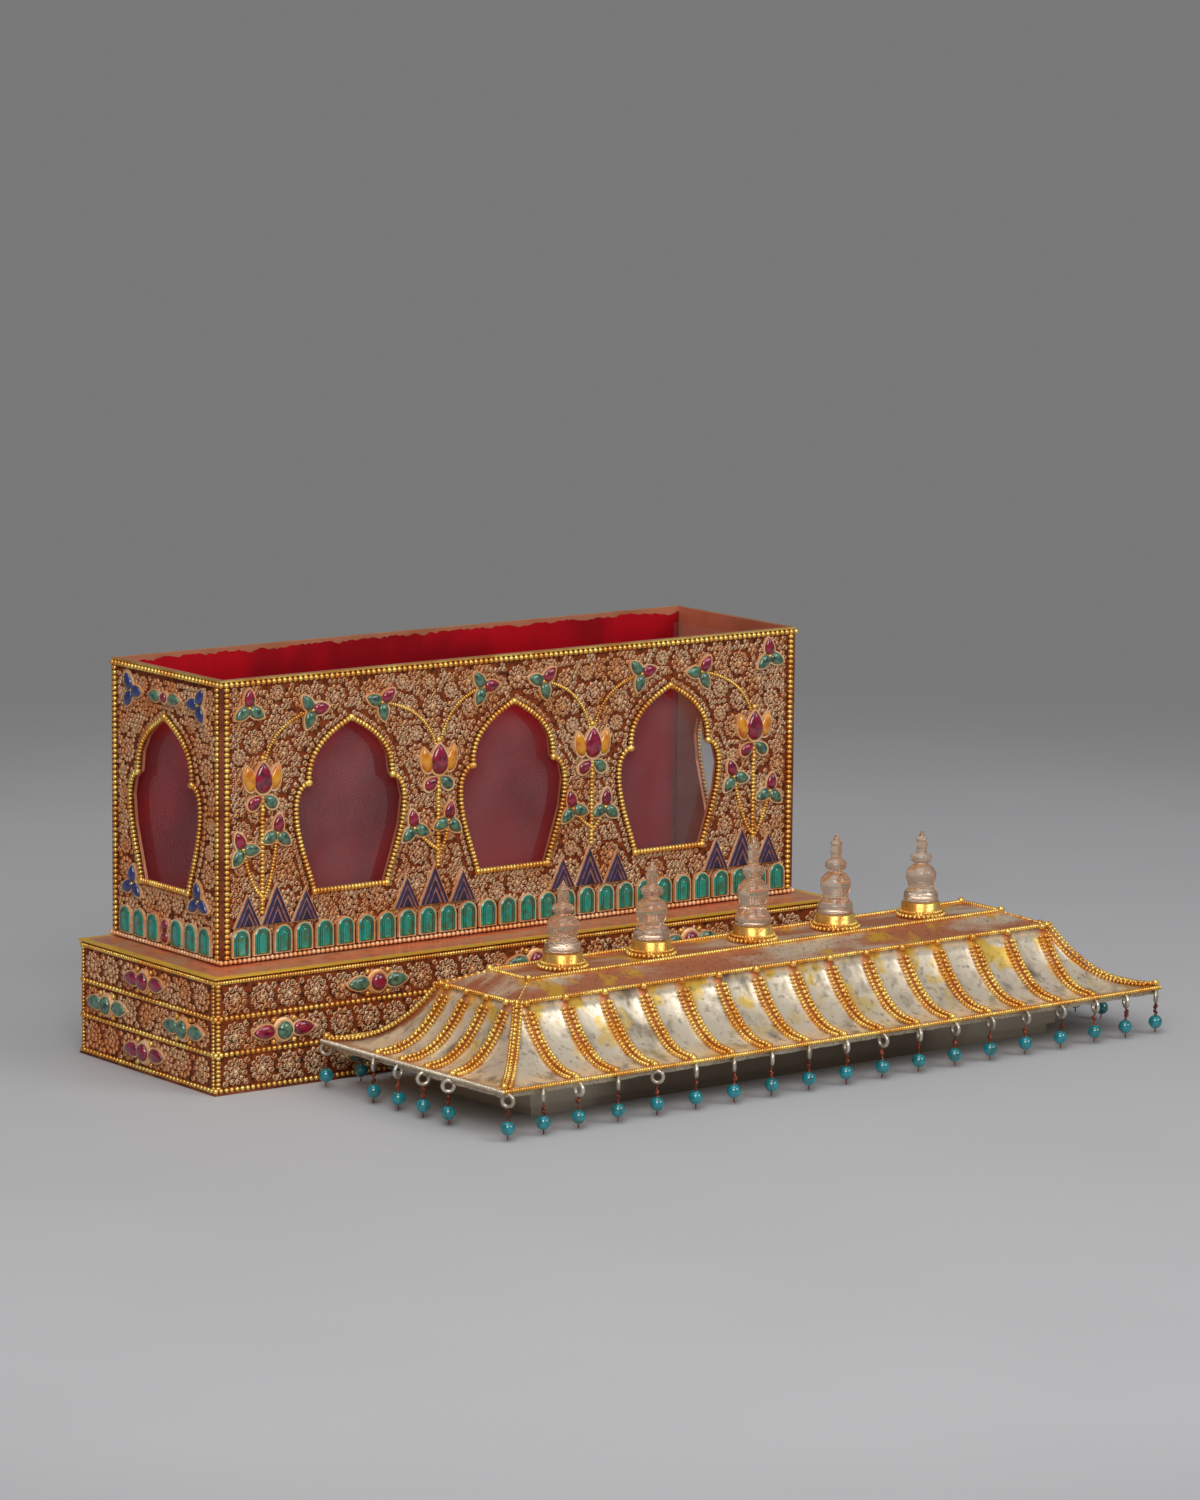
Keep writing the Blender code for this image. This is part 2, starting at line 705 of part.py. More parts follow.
def add_case_edging():
    """The beaded rows that run round the rim and the foot of the case, and up its corners."""
    low = 2 * FIT_GAP
    inner = rectangle(CASE_LENGTH + low, CASE_DEPTH + low)
    length = CASE_LENGTH + low + 2 * EDGING_THICKNESS
    depth = CASE_DEPTH + low + 2 * EDGING_THICKNESS
    top = CASE_BASE + CASE_WALL_HEIGHT
    here = Matrix.Translation((CASE_OFFSET_X, CASE_OFFSET_Y, 0))
    mesh = outline_prism([rectangle(length, depth), inner], CASE_BASE, top)
    edging = add_part("case_edging", moved(mesh, here), GILT)
    z_low = CASE_BASE + EDGING_ROW_HEIGHT
    z_high = top - EDGING_ROW_HEIGHT
    x = CASE_LENGTH / 2 - CORNER_POST_WIDTH
    y = CASE_DEPTH / 2 - CORNER_POST_WIDTH
    through_front = block((-x, -depth, z_low), (x, depth, z_high))
    through_ends = block((-length, -y, z_low), (length, y, z_high))
    cut(edging, add_cutter("edging_fronts", moved(through_front, here)))
    cut(edging, add_cutter("edging_ends", moved(through_ends, here)))


def add_window_frames():
    lift = FIT_GAP + FRAME_WIRE
    for name, face, centre in window_places():
        points = [(u, v, lift) for u, v in window_outline(centre)]
        mesh = wire(points, FRAME_WIRE, closed=True)
        mesh.transform(CASE_FACES[face])
        add_part(f"window_frame_{name}", mesh, GILT)


def add_glass_and_velvet():
    x = CASE_LENGTH / 2 - WALL
    y = CASE_DEPTH / 2 - WALL
    foot = CASE_BASE + CASE_FLOOR + FIT_GAP
    here = Matrix.Translation((CASE_OFFSET_X, CASE_OFFSET_Y, 0))
    pane_front = -y + PANE_STANDOFF
    pane_back = pane_front + PANE_THICKNESS
    velvet_front = y - FIT_GAP - VELVET_THICKNESS
    pane_top = CASE_BASE + CASE_HEIGHT - PANE_BELOW_RIM
    pane = block((-x + FIT_GAP, pane_front, foot), (x - FIT_GAP, pane_back, pane_top))
    add_part("front_glass", moved(pane, here), GLASS)
    for name, side in (("left_glass", -1), ("right_glass", 1)):
        near = side * (x - PANE_STANDOFF)
        far = near - side * PANE_THICKNESS
        low = (min(near, far), pane_back + FIT_GAP, foot)
        high = (max(near, far), velvet_front - FIT_GAP, pane_top)
        add_part(name, moved(block(low, high), here), GLASS)
    velvet_top = CASE_BASE + CASE_WALL_HEIGHT - VELVET_BELOW_RIM
    velvet = block((-x + FIT_GAP, velvet_front, foot), (x - FIT_GAP, y - FIT_GAP, velvet_top))
    add_part("velvet_lining", moved(velvet, here), VELVET)


def tile_outline(along):
    """An upright tile with a round arched top, from its right foot round to its left foot."""
    half = TILE_WIDTH / 2
    strip = TILE_FOOT + TILE_STRIP_HEIGHT
    outline = [(along + half, strip)]
    for step in range(ARCH_STEPS + 1):
        angle = math.pi * step / ARCH_STEPS
        v = TILE_FOOT + TILE_HEIGHT - half + half * math.sin(angle)
        outline.append((along + half * math.cos(angle), v))
    return outline + [(along - half, strip)]


def add_tile_row(face, places, stones=()):
    """Arched tiles that stand on one setting strip."""
    reach = max(places) + TILE_WIDTH / 2
    outline = [(-reach, TILE_FOOT), (reach, TILE_FOOT)]
    for along in sorted(places, reverse=True):
        outline += tile_outline(along)
    row = outline_prism([outline], FIT_GAP, FIT_GAP + TILE_THICKNESS)
    mesh = fused([row, *stones])
    mesh.transform(CASE_FACES[face])
    add_part(f"turquoise_row_{face}", mesh, TURQUOISE)


def add_tile_rows():
    half = (FRONT_TILES - 1) / 2
    add_tile_row("front", [(number - half) * TILE_PITCH for number in range(FRONT_TILES)])
    out = [SIDE_TILE_FIRST + number * SIDE_TILE_PITCH for number in range(SIDE_TILE_GAPS + 1)]
    stone = round_stone(ROW_STONE, TILE_THICKNESS)
    low = moved(stone, place_at(0, TILE_FOOT + ROW_STONE / 2, 2 * FIT_GAP))
    high = moved(stone, place_at(0, TILE_FOOT + ROW_STONE * 1.3, 3 * FIT_GAP))
    for face in ("left", "right"):
        add_tile_row(face, [-along for along in out] + out, [low.copy(), high.copy()])


def add_lapis_peaks():
    for group, centre in enumerate(PEAK_PLACES, 1):
        pieces = []
        for side in (-1, 0, 1):
            half = (PEAK_SIDE_WIDTH if side else PEAK_CENTRE_WIDTH) / 2
            height = PEAK_SIDE_HEIGHT if side else PEAK_CENTRE_HEIGHT
            peak = flat_outline([(-half, 0), (half, 0), (0, height)])
            stone = pulled_up(peak, PEAK_EDGE_THICKNESS, [PEAK_THICKNESS])
            lift = FIT_GAP + abs(side) * FIT_GAP
            pieces.append(moved(stone, place_at(centre + side * PEAK_PITCH, PEAK_FOOT, lift)))
        mesh = fused(pieces)
        mesh.transform(CASE_FACES["front"])
        add_part(f"lapis_peaks_{group}", mesh, LAPIS)


def add_front_flowers():
    for number, (lotus, (upper, lower)) in enumerate(zip(LOTUS_PLACES, SPRAYS), 1):
        mesh = flower_spray(lotus, upper, lower)
        mesh.transform(CASE_FACES["front"])
        add_part(f"flower_spray_{number}", mesh, GILT)
    for name, side, from_end, below_rim, turn in CORNER_TREFOILS:
        u = side * (CASE_LENGTH / 2 - from_end)
        mesh = moved(trefoil(u, CASE_HEIGHT - below_rim, turn), CASE_FACES["front"])
        add_part(f"corner_trefoil_{name}", mesh, MALACHITE)


def add_end_stones():
    row = stone_triplet(GEM_WIDTH, GEM_HEIGHT, GEM_LENGTH, GEM_WIDTH, GEM_HEIGHT, END_ROW_SPACING)
    for face in ("left", "right"):
        high = CASE_HEIGHT - END_TREFOIL_BELOW_RIM
        out = CASE_DEPTH / 2 - END_TREFOIL_MARGIN
        mesh = moved(row, CASE_FACES[face] @ place_at(0, high, FIT_GAP))
        add_part(f"stone_row_{face}", mesh, RUBY)
        for height, v, lean in (
            ("high", high, END_TREFOIL_LEAN_HIGH),
            ("low", END_TREFOIL_LOW, END_TREFOIL_LEAN_LOW),
        ):
            for side_name, side in (("a", -1), ("b", 1)):
                mesh = moved(trefoil(side * out, v, 90 - side * lean), CASE_FACES[face])
                add_part(f"lapis_trefoil_{face}_{height}_{side_name}", mesh, LAPIS)


# Lid


def sweep_height(s):
    """Height of the roof sheet at share s of the way from the deck edge to the eave."""
    return DECK_EDGE_Z - (DECK_EDGE_Z - EAVE_Z) * (1 - (1 - s) ** SWEEP_POWER)


def sweep_lean(s, run):
    """Outward and upward parts of the roof's normal at share s."""
    fall = (DECK_EDGE_Z - EAVE_Z) * SWEEP_POWER * (1 - s) ** (SWEEP_POWER - 1)
    length = math.hypot(fall, run)
    return fall / length, run / length


def rib_columns(count, top_pitch, foot_pitch, top_end, foot_end):
    """Columns of one slope as (place at the top, place at the foot, lift): ribs, then the hips."""
    columns = [(-top_end, -foot_end, "hip")]
    columns.append((-top_end + HIP_FLANK_TOP, -foot_end + HIP_FLANK_FOOT, "flat"))
    for number in range(count):
        top = (number - (count - 1) / 2) * top_pitch
        foot = (number - (count - 1) / 2) * foot_pitch
        for step, kind in ((-RIB_HALF_WIDTH, "flat"), (0.0, "rib"), (RIB_HALF_WIDTH, "flat")):
            columns.append((top + step, foot + step, kind))
    columns.append((top_end - HIP_FLANK_TOP, foot_end - HIP_FLANK_FOOT, "flat"))
    columns.append((top_end, foot_end, "hip"))
    return columns


def roof_slope(bm, outward, deck_out, run, columns):
    """One slope of the roof, its ribs drawn up from the sheet."""
    out = Vector(outward)
    up = Vector((0, 0, 1))
    along = up.cross(out)
    last_column = len(columns) - 1
    last_row = len(SWEEP_STEPS) - 1
    made = bmesh.ops.create_grid(bm, x_segments=last_column, y_segments=last_row, size=1.0)
    for vertex in made["verts"]:
        column = round((vertex.co.x + 1) / 2 * last_column)
        row = round((1 - vertex.co.y) / 2 * last_row)
        s = SWEEP_STEPS[row]
        top, foot, kind = columns[column]
        place = top + (foot - top) * s
        lean_out, lean_up = sweep_lean(s, run)
        vertex.co = out * (deck_out + run * s) + along * place + up * sweep_height(s)
        if kind == "rib":
            vertex.co += (out * lean_out + up * lean_up) * RIB_HEIGHT
        if kind == "hip":
            side = math.copysign(1, place)
            vertex.co += (out + along * side + up * 2).normalized() * RIB_HEIGHT


def add_lid_roof():
    """The four swept slopes as one sheet."""
    sheet_end = SHEET_LENGTH / 2
    sheet_front = SHEET_DEPTH / 2
    deck_end = DECK_EDGE_LENGTH / 2
    deck_front = DECK_EDGE_DEPTH / 2
    front = rib_columns(RIB_COUNT, RIB_PITCH, RIB_PITCH, deck_end, sheet_end)
    end = rib_columns(END_RIB_COUNT, END_RIB_TOP_PITCH, END_RIB_FOOT_PITCH, deck_front, sheet_front)
    bm = bmesh.new()
    for sign in (-1, 1):
        roof_slope(bm, (0, sign, 0), deck_front, sheet_front - deck_front, front)
        roof_slope(bm, (sign, 0, 0), deck_end, sheet_end - deck_end, end)
    bmesh.ops.remove_doubles(bm, verts=bm.verts, dist=WELD)
    made = bmesh.ops.create_grid(bm, x_segments=1, y_segments=1, size=1.0)
    ring = made["verts"]
    under = bm.faces[:][-1].edges[:]
    bmesh.ops.delete(bm, geom=[bm.faces[:][-1]], context="FACES_ONLY")
    for number, s in enumerate(SWEEP_STEPS):
        if number:
            made = bmesh.ops.extrude_edge_only(bm, edges=under)
            ring = [item for item in made["geom"] if isinstance(item, bmesh.types.BMVert)]
            under = [item for item in made["geom"] if isinstance(item, bmesh.types.BMEdge)]
            under = [edge for edge in under if edge.verts[0] in ring and edge.verts[1] in ring]
        for corner in ring:
            x = deck_end + (sheet_end - deck_end) * s - SHEET
            y = deck_front + (sheet_front - deck_front) * s - SHEET
            corner.co = (math.copysign(x, corner.co.x), math.copysign(y, corner.co.y), 0)
            corner.co.z = sweep_height(s) - SHEET
    open_edges = [edge for edge in bm.edges if len(edge.link_faces) == 1]
    middle = (DECK_EDGE_Z + EAVE_Z) / 2
    for high in (True, False):
        rims = [edge for edge in open_edges if (edge.verts[0].co.z > middle) == high]
        bmesh.ops.bridge_loops(bm, edges=rims)
    bmesh.ops.recalc_face_normals(bm, faces=bm.faces)
    add_part("lid_roof", moved(to_mesh(bm), LID_MATRIX), SILVER)


def add_lid_top():
    """The sloping strip above the ribs, the platform it carries and the five stupa seats."""
    foot = DECK_EDGE_Z + FIT_GAP + RIB_HEIGHT
    outer = [(foot, DECK_EDGE_LENGTH, DECK_EDGE_DEPTH), (PLATFORM_Z, PLATFORM_LENGTH, PLATFORM_DEPTH)]
    thinner = 2 * SHEET
    shell = stacked(outer)
    seats = []
    for along, _ in STUPAS:
        profile = [
            (0, BASE_HEIGHT),
            (BASE_NECK, BASE_HEIGHT),
            (BASE_NECK, BASE_RING_HEIGHT),
            (BASE_RING, BASE_RING_HEIGHT * 0.8),
            (BASE_RING, -SHEET / 2),
            (0, -SHEET / 2),
        ]
        seats.append(moved(turned(profile, TURNED_STEPS), Matrix.Translation((along, 0, PLATFORM_Z))))
    top = add_part("lid_top", moved(fused([shell] + seats), LID_MATRIX), GILT)
    hollow = stacked(
        [
            (foot - SHEET, DECK_EDGE_LENGTH - 2 * thinner, DECK_EDGE_DEPTH - 2 * thinner),
            (foot, DECK_EDGE_LENGTH - 2 * thinner, DECK_EDGE_DEPTH - 2 * thinner),
            (PLATFORM_Z - SHEET, PLATFORM_LENGTH - thinner, PLATFORM_DEPTH - thinner),
        ]
    )
    cut(top, add_cutter("lid_top_hollow", moved(hollow, LID_MATRIX)))


def add_lid_collar():
    """The band under the roof that drops into the case, with a set-back lip to stand on."""
    s = (COLLAR_DEPTH - DECK_EDGE_DEPTH) / (SHEET_DEPTH - DECK_EDGE_DEPTH)
    top = sweep_height(s) - COLLAR_BELOW_ROOF
    lip_length = COLLAR_LENGTH - 2 * COLLAR_LIP_STEP
    lip_depth = COLLAR_DEPTH - 2 * COLLAR_LIP_STEP
    levels = [
        (0, lip_length, lip_depth),
        (COLLAR_BAND_Z, lip_length, lip_depth),
        (COLLAR_BAND_Z, COLLAR_LENGTH, COLLAR_DEPTH),
        (top, COLLAR_LENGTH, COLLAR_DEPTH),
    ]
    collar = add_part("lid_collar", moved(stacked(levels), LID_MATRIX), COPPER)
    x = lip_length / 2 - COLLAR_WALL
    y = lip_depth / 2 - COLLAR_WALL
    hollow = block((-x, -y, -COLLAR_WALL), (x, y, top + COLLAR_WALL))
    cut(collar, add_cutter("collar_hollow", moved(hollow, LID_MATRIX)))


def add_stupas():
    seat = PLATFORM_Z + BASE_HEIGHT + FIT_GAP
    for number, (along, height) in enumerate(STUPAS, 1):
        profile = [(0, height)]
        for radius, high in STUPA_SHARES:
            profile.append((radius * STUPA_GIRTH, high * height))
        profile.append((0, 0))
        mesh = turned(profile, TURNED_STEPS)
        mesh.transform(LID_MATRIX @ Matrix.Translation((along, 0, seat)))
        stupa = add_part(f"crystal_stupa_{number}", mesh, CRYSTAL)
        stupa.data.shade_smooth()
        stupa.data.set_sharp_from_angle(angle=math.radians(40))


def drop_places():
    """Places of the drops along the eave wire: rib feet, corners and one between."""
    x = EAVE_LENGTH / 2 - EAVE_WIRE
    y = EAVE_DEPTH / 2 - EAVE_WIRE
    last_rib = (RIB_COUNT - 1) / 2 * RIB_PITCH
    corner = x - CORNER_DROP_INSET
    along = [(number - (RIB_COUNT - 1) / 2) * RIB_PITCH for number in range(RIB_COUNT)]
    between = (last_rib + corner) / 2
    along += [-corner, -between, between, corner]
    across = [(number - (END_RIB_COUNT - 1) / 2) * END_RIB_FOOT_PITCH for number in range(END_RIB_COUNT)]
    places = [(u, side * y, 90.0) for side in (-1, 1) for u in along]
    return places + [(side * x, v, 0.0) for side in (-1, 1) for v in across]


def drop_shape():
    """A round bead on a straight wire that reaches up into the eave wire."""
    belt = DROP_BEAD * math.cos(math.radians(30))
    high = DROP_BEAD_Z + DROP_BEAD / 2
    low = DROP_BEAD_Z - DROP_BEAD / 2
    profile = [
        (0, EAVE_Z - EAVE_WIRE / 2),
        (DROP_WIRE, EAVE_Z - EAVE_WIRE / 2),
        (DROP_WIRE, DROP_BEAD_Z + DROP_BEAD),
        (belt, high),
        (belt, low),
        (0, DROP_BEAD_Z - DROP_BEAD),
    ]
    return turned(profile, DROP_SIDES)


def add_lid_eave():
    """The wire round the eave with its hanging drops."""
    x = EAVE_LENGTH / 2 - EAVE_WIRE
    y = EAVE_DEPTH / 2 - EAVE_WIRE
    corners = [(-x, -y, EAVE_Z), (x, -y, EAVE_Z), (x, y, EAVE_Z), (-x, y, EAVE_Z)]
    pieces = [wire(corners, EAVE_WIRE, closed=True)]
    drop = drop_shape()
    for u, v, turn in drop_places():
        pieces.append(moved(drop, place_at(u, v, 0, turn)))
    add_part("lid_eave", moved(fused(pieces), LID_MATRIX), TURQUOISE)


clear_scene()
PARTS = new_collection("altar_box")
CUTTERS = new_collection("cutters")
COPPER = material("copper", (0.52, 0.24, 0.14), 0.45, 1.0)
GILT = material("gilt", (0.78, 0.50, 0.15), 0.30, 1.0)
SILVER = material("silver", (0.62, 0.56, 0.48), 0.38, 1.0)
GLASS = material("glass", (0.85, 0.88, 0.86), 0.05, alpha=0.3)
CRYSTAL = material("crystal", (0.85, 0.78, 0.74), 0.08, alpha=0.5)
VELVET = material("velvet", (0.28, 0.0, 0.01), 0.9)
TURQUOISE = material("turquoise", (0.04, 0.32, 0.30), 0.35)
LAPIS = material("lapis", (0.03, 0.04, 0.18), 0.35)
RUBY = material("ruby", (0.30, 0.01, 0.06), 0.2)
MALACHITE = material("green_stone", (0.05, 0.16, 0.11), 0.25)
add_plinth()
add_plinth_deck()
add_plinth_clusters()
add_case()
add_case_edging()
add_window_frames()
add_glass_and_velvet()
add_tile_rows()
add_lapis_peaks()
add_front_flowers()
add_end_stones()
add_lid_roof()
add_lid_top()
add_lid_collar()
add_stupas()
add_lid_eave()
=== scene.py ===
import math
import random

import bmesh
import bpy
from bpy.props import FloatProperty, FloatVectorProperty, PointerProperty
from mathutils import Matrix, Vector


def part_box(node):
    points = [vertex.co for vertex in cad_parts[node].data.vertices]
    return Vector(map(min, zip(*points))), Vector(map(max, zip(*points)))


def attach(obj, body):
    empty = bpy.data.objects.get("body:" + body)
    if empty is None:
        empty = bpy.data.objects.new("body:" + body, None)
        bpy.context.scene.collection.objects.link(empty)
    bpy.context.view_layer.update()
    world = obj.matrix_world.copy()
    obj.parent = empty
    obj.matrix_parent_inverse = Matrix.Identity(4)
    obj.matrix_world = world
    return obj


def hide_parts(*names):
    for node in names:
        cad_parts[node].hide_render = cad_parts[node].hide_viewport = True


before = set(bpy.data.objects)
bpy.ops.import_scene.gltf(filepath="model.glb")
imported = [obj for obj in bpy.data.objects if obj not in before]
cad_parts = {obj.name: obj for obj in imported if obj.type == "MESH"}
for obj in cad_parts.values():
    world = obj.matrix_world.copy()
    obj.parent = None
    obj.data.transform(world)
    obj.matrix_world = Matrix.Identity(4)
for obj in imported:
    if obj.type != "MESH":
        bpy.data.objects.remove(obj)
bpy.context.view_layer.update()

bl_info = {
    "name": "Altar box",
    "version": (1, 0, 0),
    "blender": (4, 5, 0),
    "location": "3D View > Sidebar > Altar box",
    "description": "Dresses a jewelled filigree altar box and its lid",
    "category": "Object",
}

# Sizes that the solids share, in metres. On each face u runs right, v up and w out
GAP = 0.0003
PLINTH_LENGTH = 0.3584
PLINTH_DEPTH = 0.1154
PLINTH_TOP = 0.0536
LOWEST_ROW = 0.0020
HIGHEST_ROW = 0.0521
BAND_PITCH = (HIGHEST_ROW - LOWEST_ROW) / 3
CASE_LENGTH = 0.3320
CASE_DEPTH = 0.0923
CASE_RIM = 0.1319
CASE_X = 0.0045
CASE_Y = 0.0105
CASE_BASE = 0.0550
WALL = 0.0020
POST = 0.0044
WINDOW_PITCH = 0.0927
WINDOW_SHIFT = -0.0030
SILL = 0.0202
WIDE = 0.0303
CUSP = 0.0233
SILL_Z = 0.0298
WIDE_Z = 0.0694
CUSP_Z = 0.0808
APEX_Z = 0.1095
OGEE_POWER = 2.6
SWELL_POWER = 1.15
TILE_WIDTH = 0.0097
TILE_HEIGHT = 0.0133
TILE_FOOT = 0.0030
FRONT_TILES = 28
TILE_PITCH = (CASE_LENGTH - 2 * POST - 2 * GAP - TILE_WIDTH) / (FRONT_TILES - 1)
SIDE_TILES = (0.0102, 0.0222, 0.0342)
PEAK_PLACES = (-0.1369, -0.04815, 0.04215, 0.1345)
PEAK_PITCH = 0.0160
PEAK_FOOT = TILE_FOOT + TILE_HEIGHT + GAP
PEAK_SIZES = ((-1, 0.0152, 0.0155), (0, 0.0176, 0.0195), (1, 0.0152, 0.0155))
GEM = (0.0100, 0.0062, 0.0030)
GEM_REACH = 0.0046
LOTUS_Z = 0.0855
LOTUSES = (-0.1446, -0.04605, 0.04335, 0.1413)
SPRAYS = (
    (((0.0276, 0.1145, 8),), ((-0.0106, 0.0530, 114), (0.0082, 0.0590, 82))),
    (((-0.0323, 0.1150, 40), (0.0255, 0.1174, 5)), ((-0.0136, 0.0540, 100), (0.0057, 0.0560, 80))),
    (((-0.0290, 0.1173, 43), (0.0291, 0.1163, 15)), ((-0.0111, 0.0547, 104), (0.0081, 0.0538, 84))),
    (((-0.0326, 0.1143, 56),), ((-0.0120, 0.0613, 110), (0.0103, 0.0523, 80))),
)
CORNERS = (("left", -0.1518, 0.1182, 90), ("right", 0.1505, 0.1190, 97))
END_STONES = (("high", 0.1185, 30), ("low", 0.0272, -5))
END_STONE_OUT = 0.02845
LID_PLACE = Matrix.Translation((0.0711, -0.13295, 0)) @ Matrix.Rotation(math.radians(1.86), 4, "Z")
EAVE = (0.4007, 0.1389, 0.0225)
EAVE_WIRE = 0.0012
DECK_EDGE = (0.3224, 0.0568, 0.0503)
SHEET_FOOT = (EAVE[0] - 4 * EAVE_WIRE - 2 * GAP, EAVE[1] - 4 * EAVE_WIRE - 2 * GAP)
PLATFORM = (0.2880, 0.0287, 0.0576)
SWEEP_POWER = 2.6
RIB_COUNT = 15
RIB_PITCH = 0.0224
END_RIB_COUNT = 4
END_RIB_TOP = 0.0147
END_RIB_FOOT = 0.0187
ROOF_THICKNESS = 0.0008
RIB_LIFT = 0.0018
SEAT_LEVELS = ((0.0100, 0.0), (0.0100, 0.0026), (0.0094, 0.0030), (0.0093, 0.0070), (0.0090, 0.0073))
SEAT_RINGS = ((0.0112, 0.0024, 0.0012, 0.0022), (0.0102, 0.0016, 0.0029, 0.0014))
STUPAS = ((-0.1130, 0.0330), (-0.0610, 0.0370), (0.0, 0.0420), (0.0510, 0.0380), (0.1050, 0.0340))
STUPA_GIRTH = 0.0182
STUPA_SEAT = PLATFORM[2] + 0.0073 + GAP
STUPA_PROFILE = (
    (0.450, 0.0), (0.460, 0.03), (0.458, 0.09), (0.430, 0.13), (0.362, 0.165), (0.338, 0.195), (0.352, 0.24),
    (0.385, 0.29), (0.404, 0.34), (0.402, 0.39), (0.370, 0.44), (0.290, 0.485), (0.208, 0.51), (0.188, 0.525),
    (0.205, 0.545), (0.262, 0.562), (0.288, 0.59), (0.286, 0.63), (0.235, 0.655), (0.155, 0.672), (0.134, 0.695),
    (0.140, 0.73), (0.152, 0.78), (0.146, 0.82), (0.132, 0.845), (0.155, 0.862), (0.152, 0.885), (0.105, 0.905),
    (0.072, 0.93), (0.052, 0.96), (0.026, 0.985),
)
RING_Z = 0.0184
DROP_BEAD_Z = 0.0060
TAIL_Z = 0.0012
TRIPLET = (0.0112, 0.0046, 0.0125, 0.0076, 0.0034, 0.0106, True)
CLUSTERS = (
    ("front", 0, "low", (-0.0910, 0.0910), "ruby", "green_stone"),
    ("front", 1, "middle", (-0.1430, -0.0480, 0.0480, 0.1430), "green_stone", "ruby"),
    ("front", 2, "high", (-0.0910, -0.0005, 0.0910), "ruby", "green_stone"),
    ("left", 0, "low", (-0.0005,), "ruby", "ruby"),
    ("left", 1, "middle", (-0.0330, 0.0330), "green_stone", "green_stone"),
    ("left", 2, "high", (-0.0005,), "ruby", "ruby"),
    ("right", 1, "middle", (-0.0330, 0.0330), "ruby", "green_stone"),
)
LEAVES = ("ruby", "green_stone", "green_stone")
SMALL_DROP = (GEM[0] * 0.86, GEM[1] * 0.95)
# Share of the width and of the height at each level of a cabochon
DOME = ((0.985, 0.45), (0.95, 0.60), (0.86, 0.76), (0.70, 0.89), (0.48, 0.965), (0.22, 0.995))
# Inset, drop, lift and finish at each level of a carved tile
TILE_CUTS = (
    (0.00060, 0.0000, 0.0004, 0), (0.00060, 0.0000, 0.0019, 0), (0.00090, 0.0000, 0.0022, 0),
    (0.00145, 0.0001, 0.0022, 0), (0.00160, 0.0001, 0.0017, 1), (0.00190, 0.0002, 0.0017, 1),
    (0.00205, 0.0002, 0.0024, 0), (0.00245, 0.0003, 0.0025, 0), (0.00258, 0.0003, 0.0020, 1),
    (0.00285, 0.0004, 0.0020, 1), (0.00300, 0.0004, 0.0025, 0), (0.00340, 0.0005, 0.0027, 0),
)
# Share of the width, lift and finish at each level of a carved peak
PEAK_CUTS = (
    (0.95, 0.0006, 0), (0.95, 0.0014, 1), (0.90, 0.0016, 1), (0.88, 0.0015, 0), (0.72, 0.0020, 0),
    (0.70, 0.0017, 1), (0.59, 0.0017, 1), (0.57, 0.0021, 0), (0.42, 0.0025, 0), (0.40, 0.0021, 1),
    (0.28, 0.0021, 1), (0.26, 0.0025, 0), (0.02, 0.0029, 0),
)
# Distance from the middle of a rib and lift of the roof sheet there
RIDGE = ((-0.0034, 0), (-0.0022, 0.0002), (-0.0011, 0.0008), (0.0, 0.0010), (0.0011, 0.0008),
         (0.0022, 0.0002), (0.0034, 0))
SCROLL_TURN = math.radians(540.0)
SCROLL_STEPS = 8
SCROLL_CLOSING = 0.76
FRAME_ROOM = 0.0028
FRONT_WINDOWS = tuple(WINDOW_SHIFT + (number - 1) * WINDOW_PITCH for number in range(3))
CORNER_ROOM = 0.0040
VELVET_COLUMNS = 180
UP = Vector((0, 0, 1))
FLOOR_RADIUS = 2.2
# Name, place, point it shines at, size, power
LIGHTS = (
    ("top_light", (-0.2, -0.3, 1.6), (0.0, 0.0, 0.05), 1.1, 8.0),
    ("key_light", (-1.3, -1.6, 1.4), (0.0, 0.0, 0.08), 1.2, 27.0),
    ("fill_light", (0.9, -1.8, 1.3), (0.05, -0.05, 0.06), 1.1, 13.0),
)
CAMERA_PLACE = (-1.5912, -2.2446, 0.5749)
CAMERA_YAW = math.radians(36.67)
CAMERA_PITCH = math.radians(9.05)
CAMERA_ROLL = math.radians(0.52)
CAMERA_LENS = 140.09


def shade(red, green, blue):
    """A colour seen on a screen, as the light that makes it."""
    return tuple(((level / 255 + 0.055) / 1.055) ** 2.4 for level in (red, green, blue))


def length(name, description, default, least):
    """A size that the panel shows."""
    return FloatProperty(name=name, description=description, default=default, min=least, unit="LENGTH")


def colour(name, description, *levels):
    """A colour that the panel shows."""
    return FloatVectorProperty(name=name, description=description, default=shade(*levels), size=3,
                               subtype="COLOR")


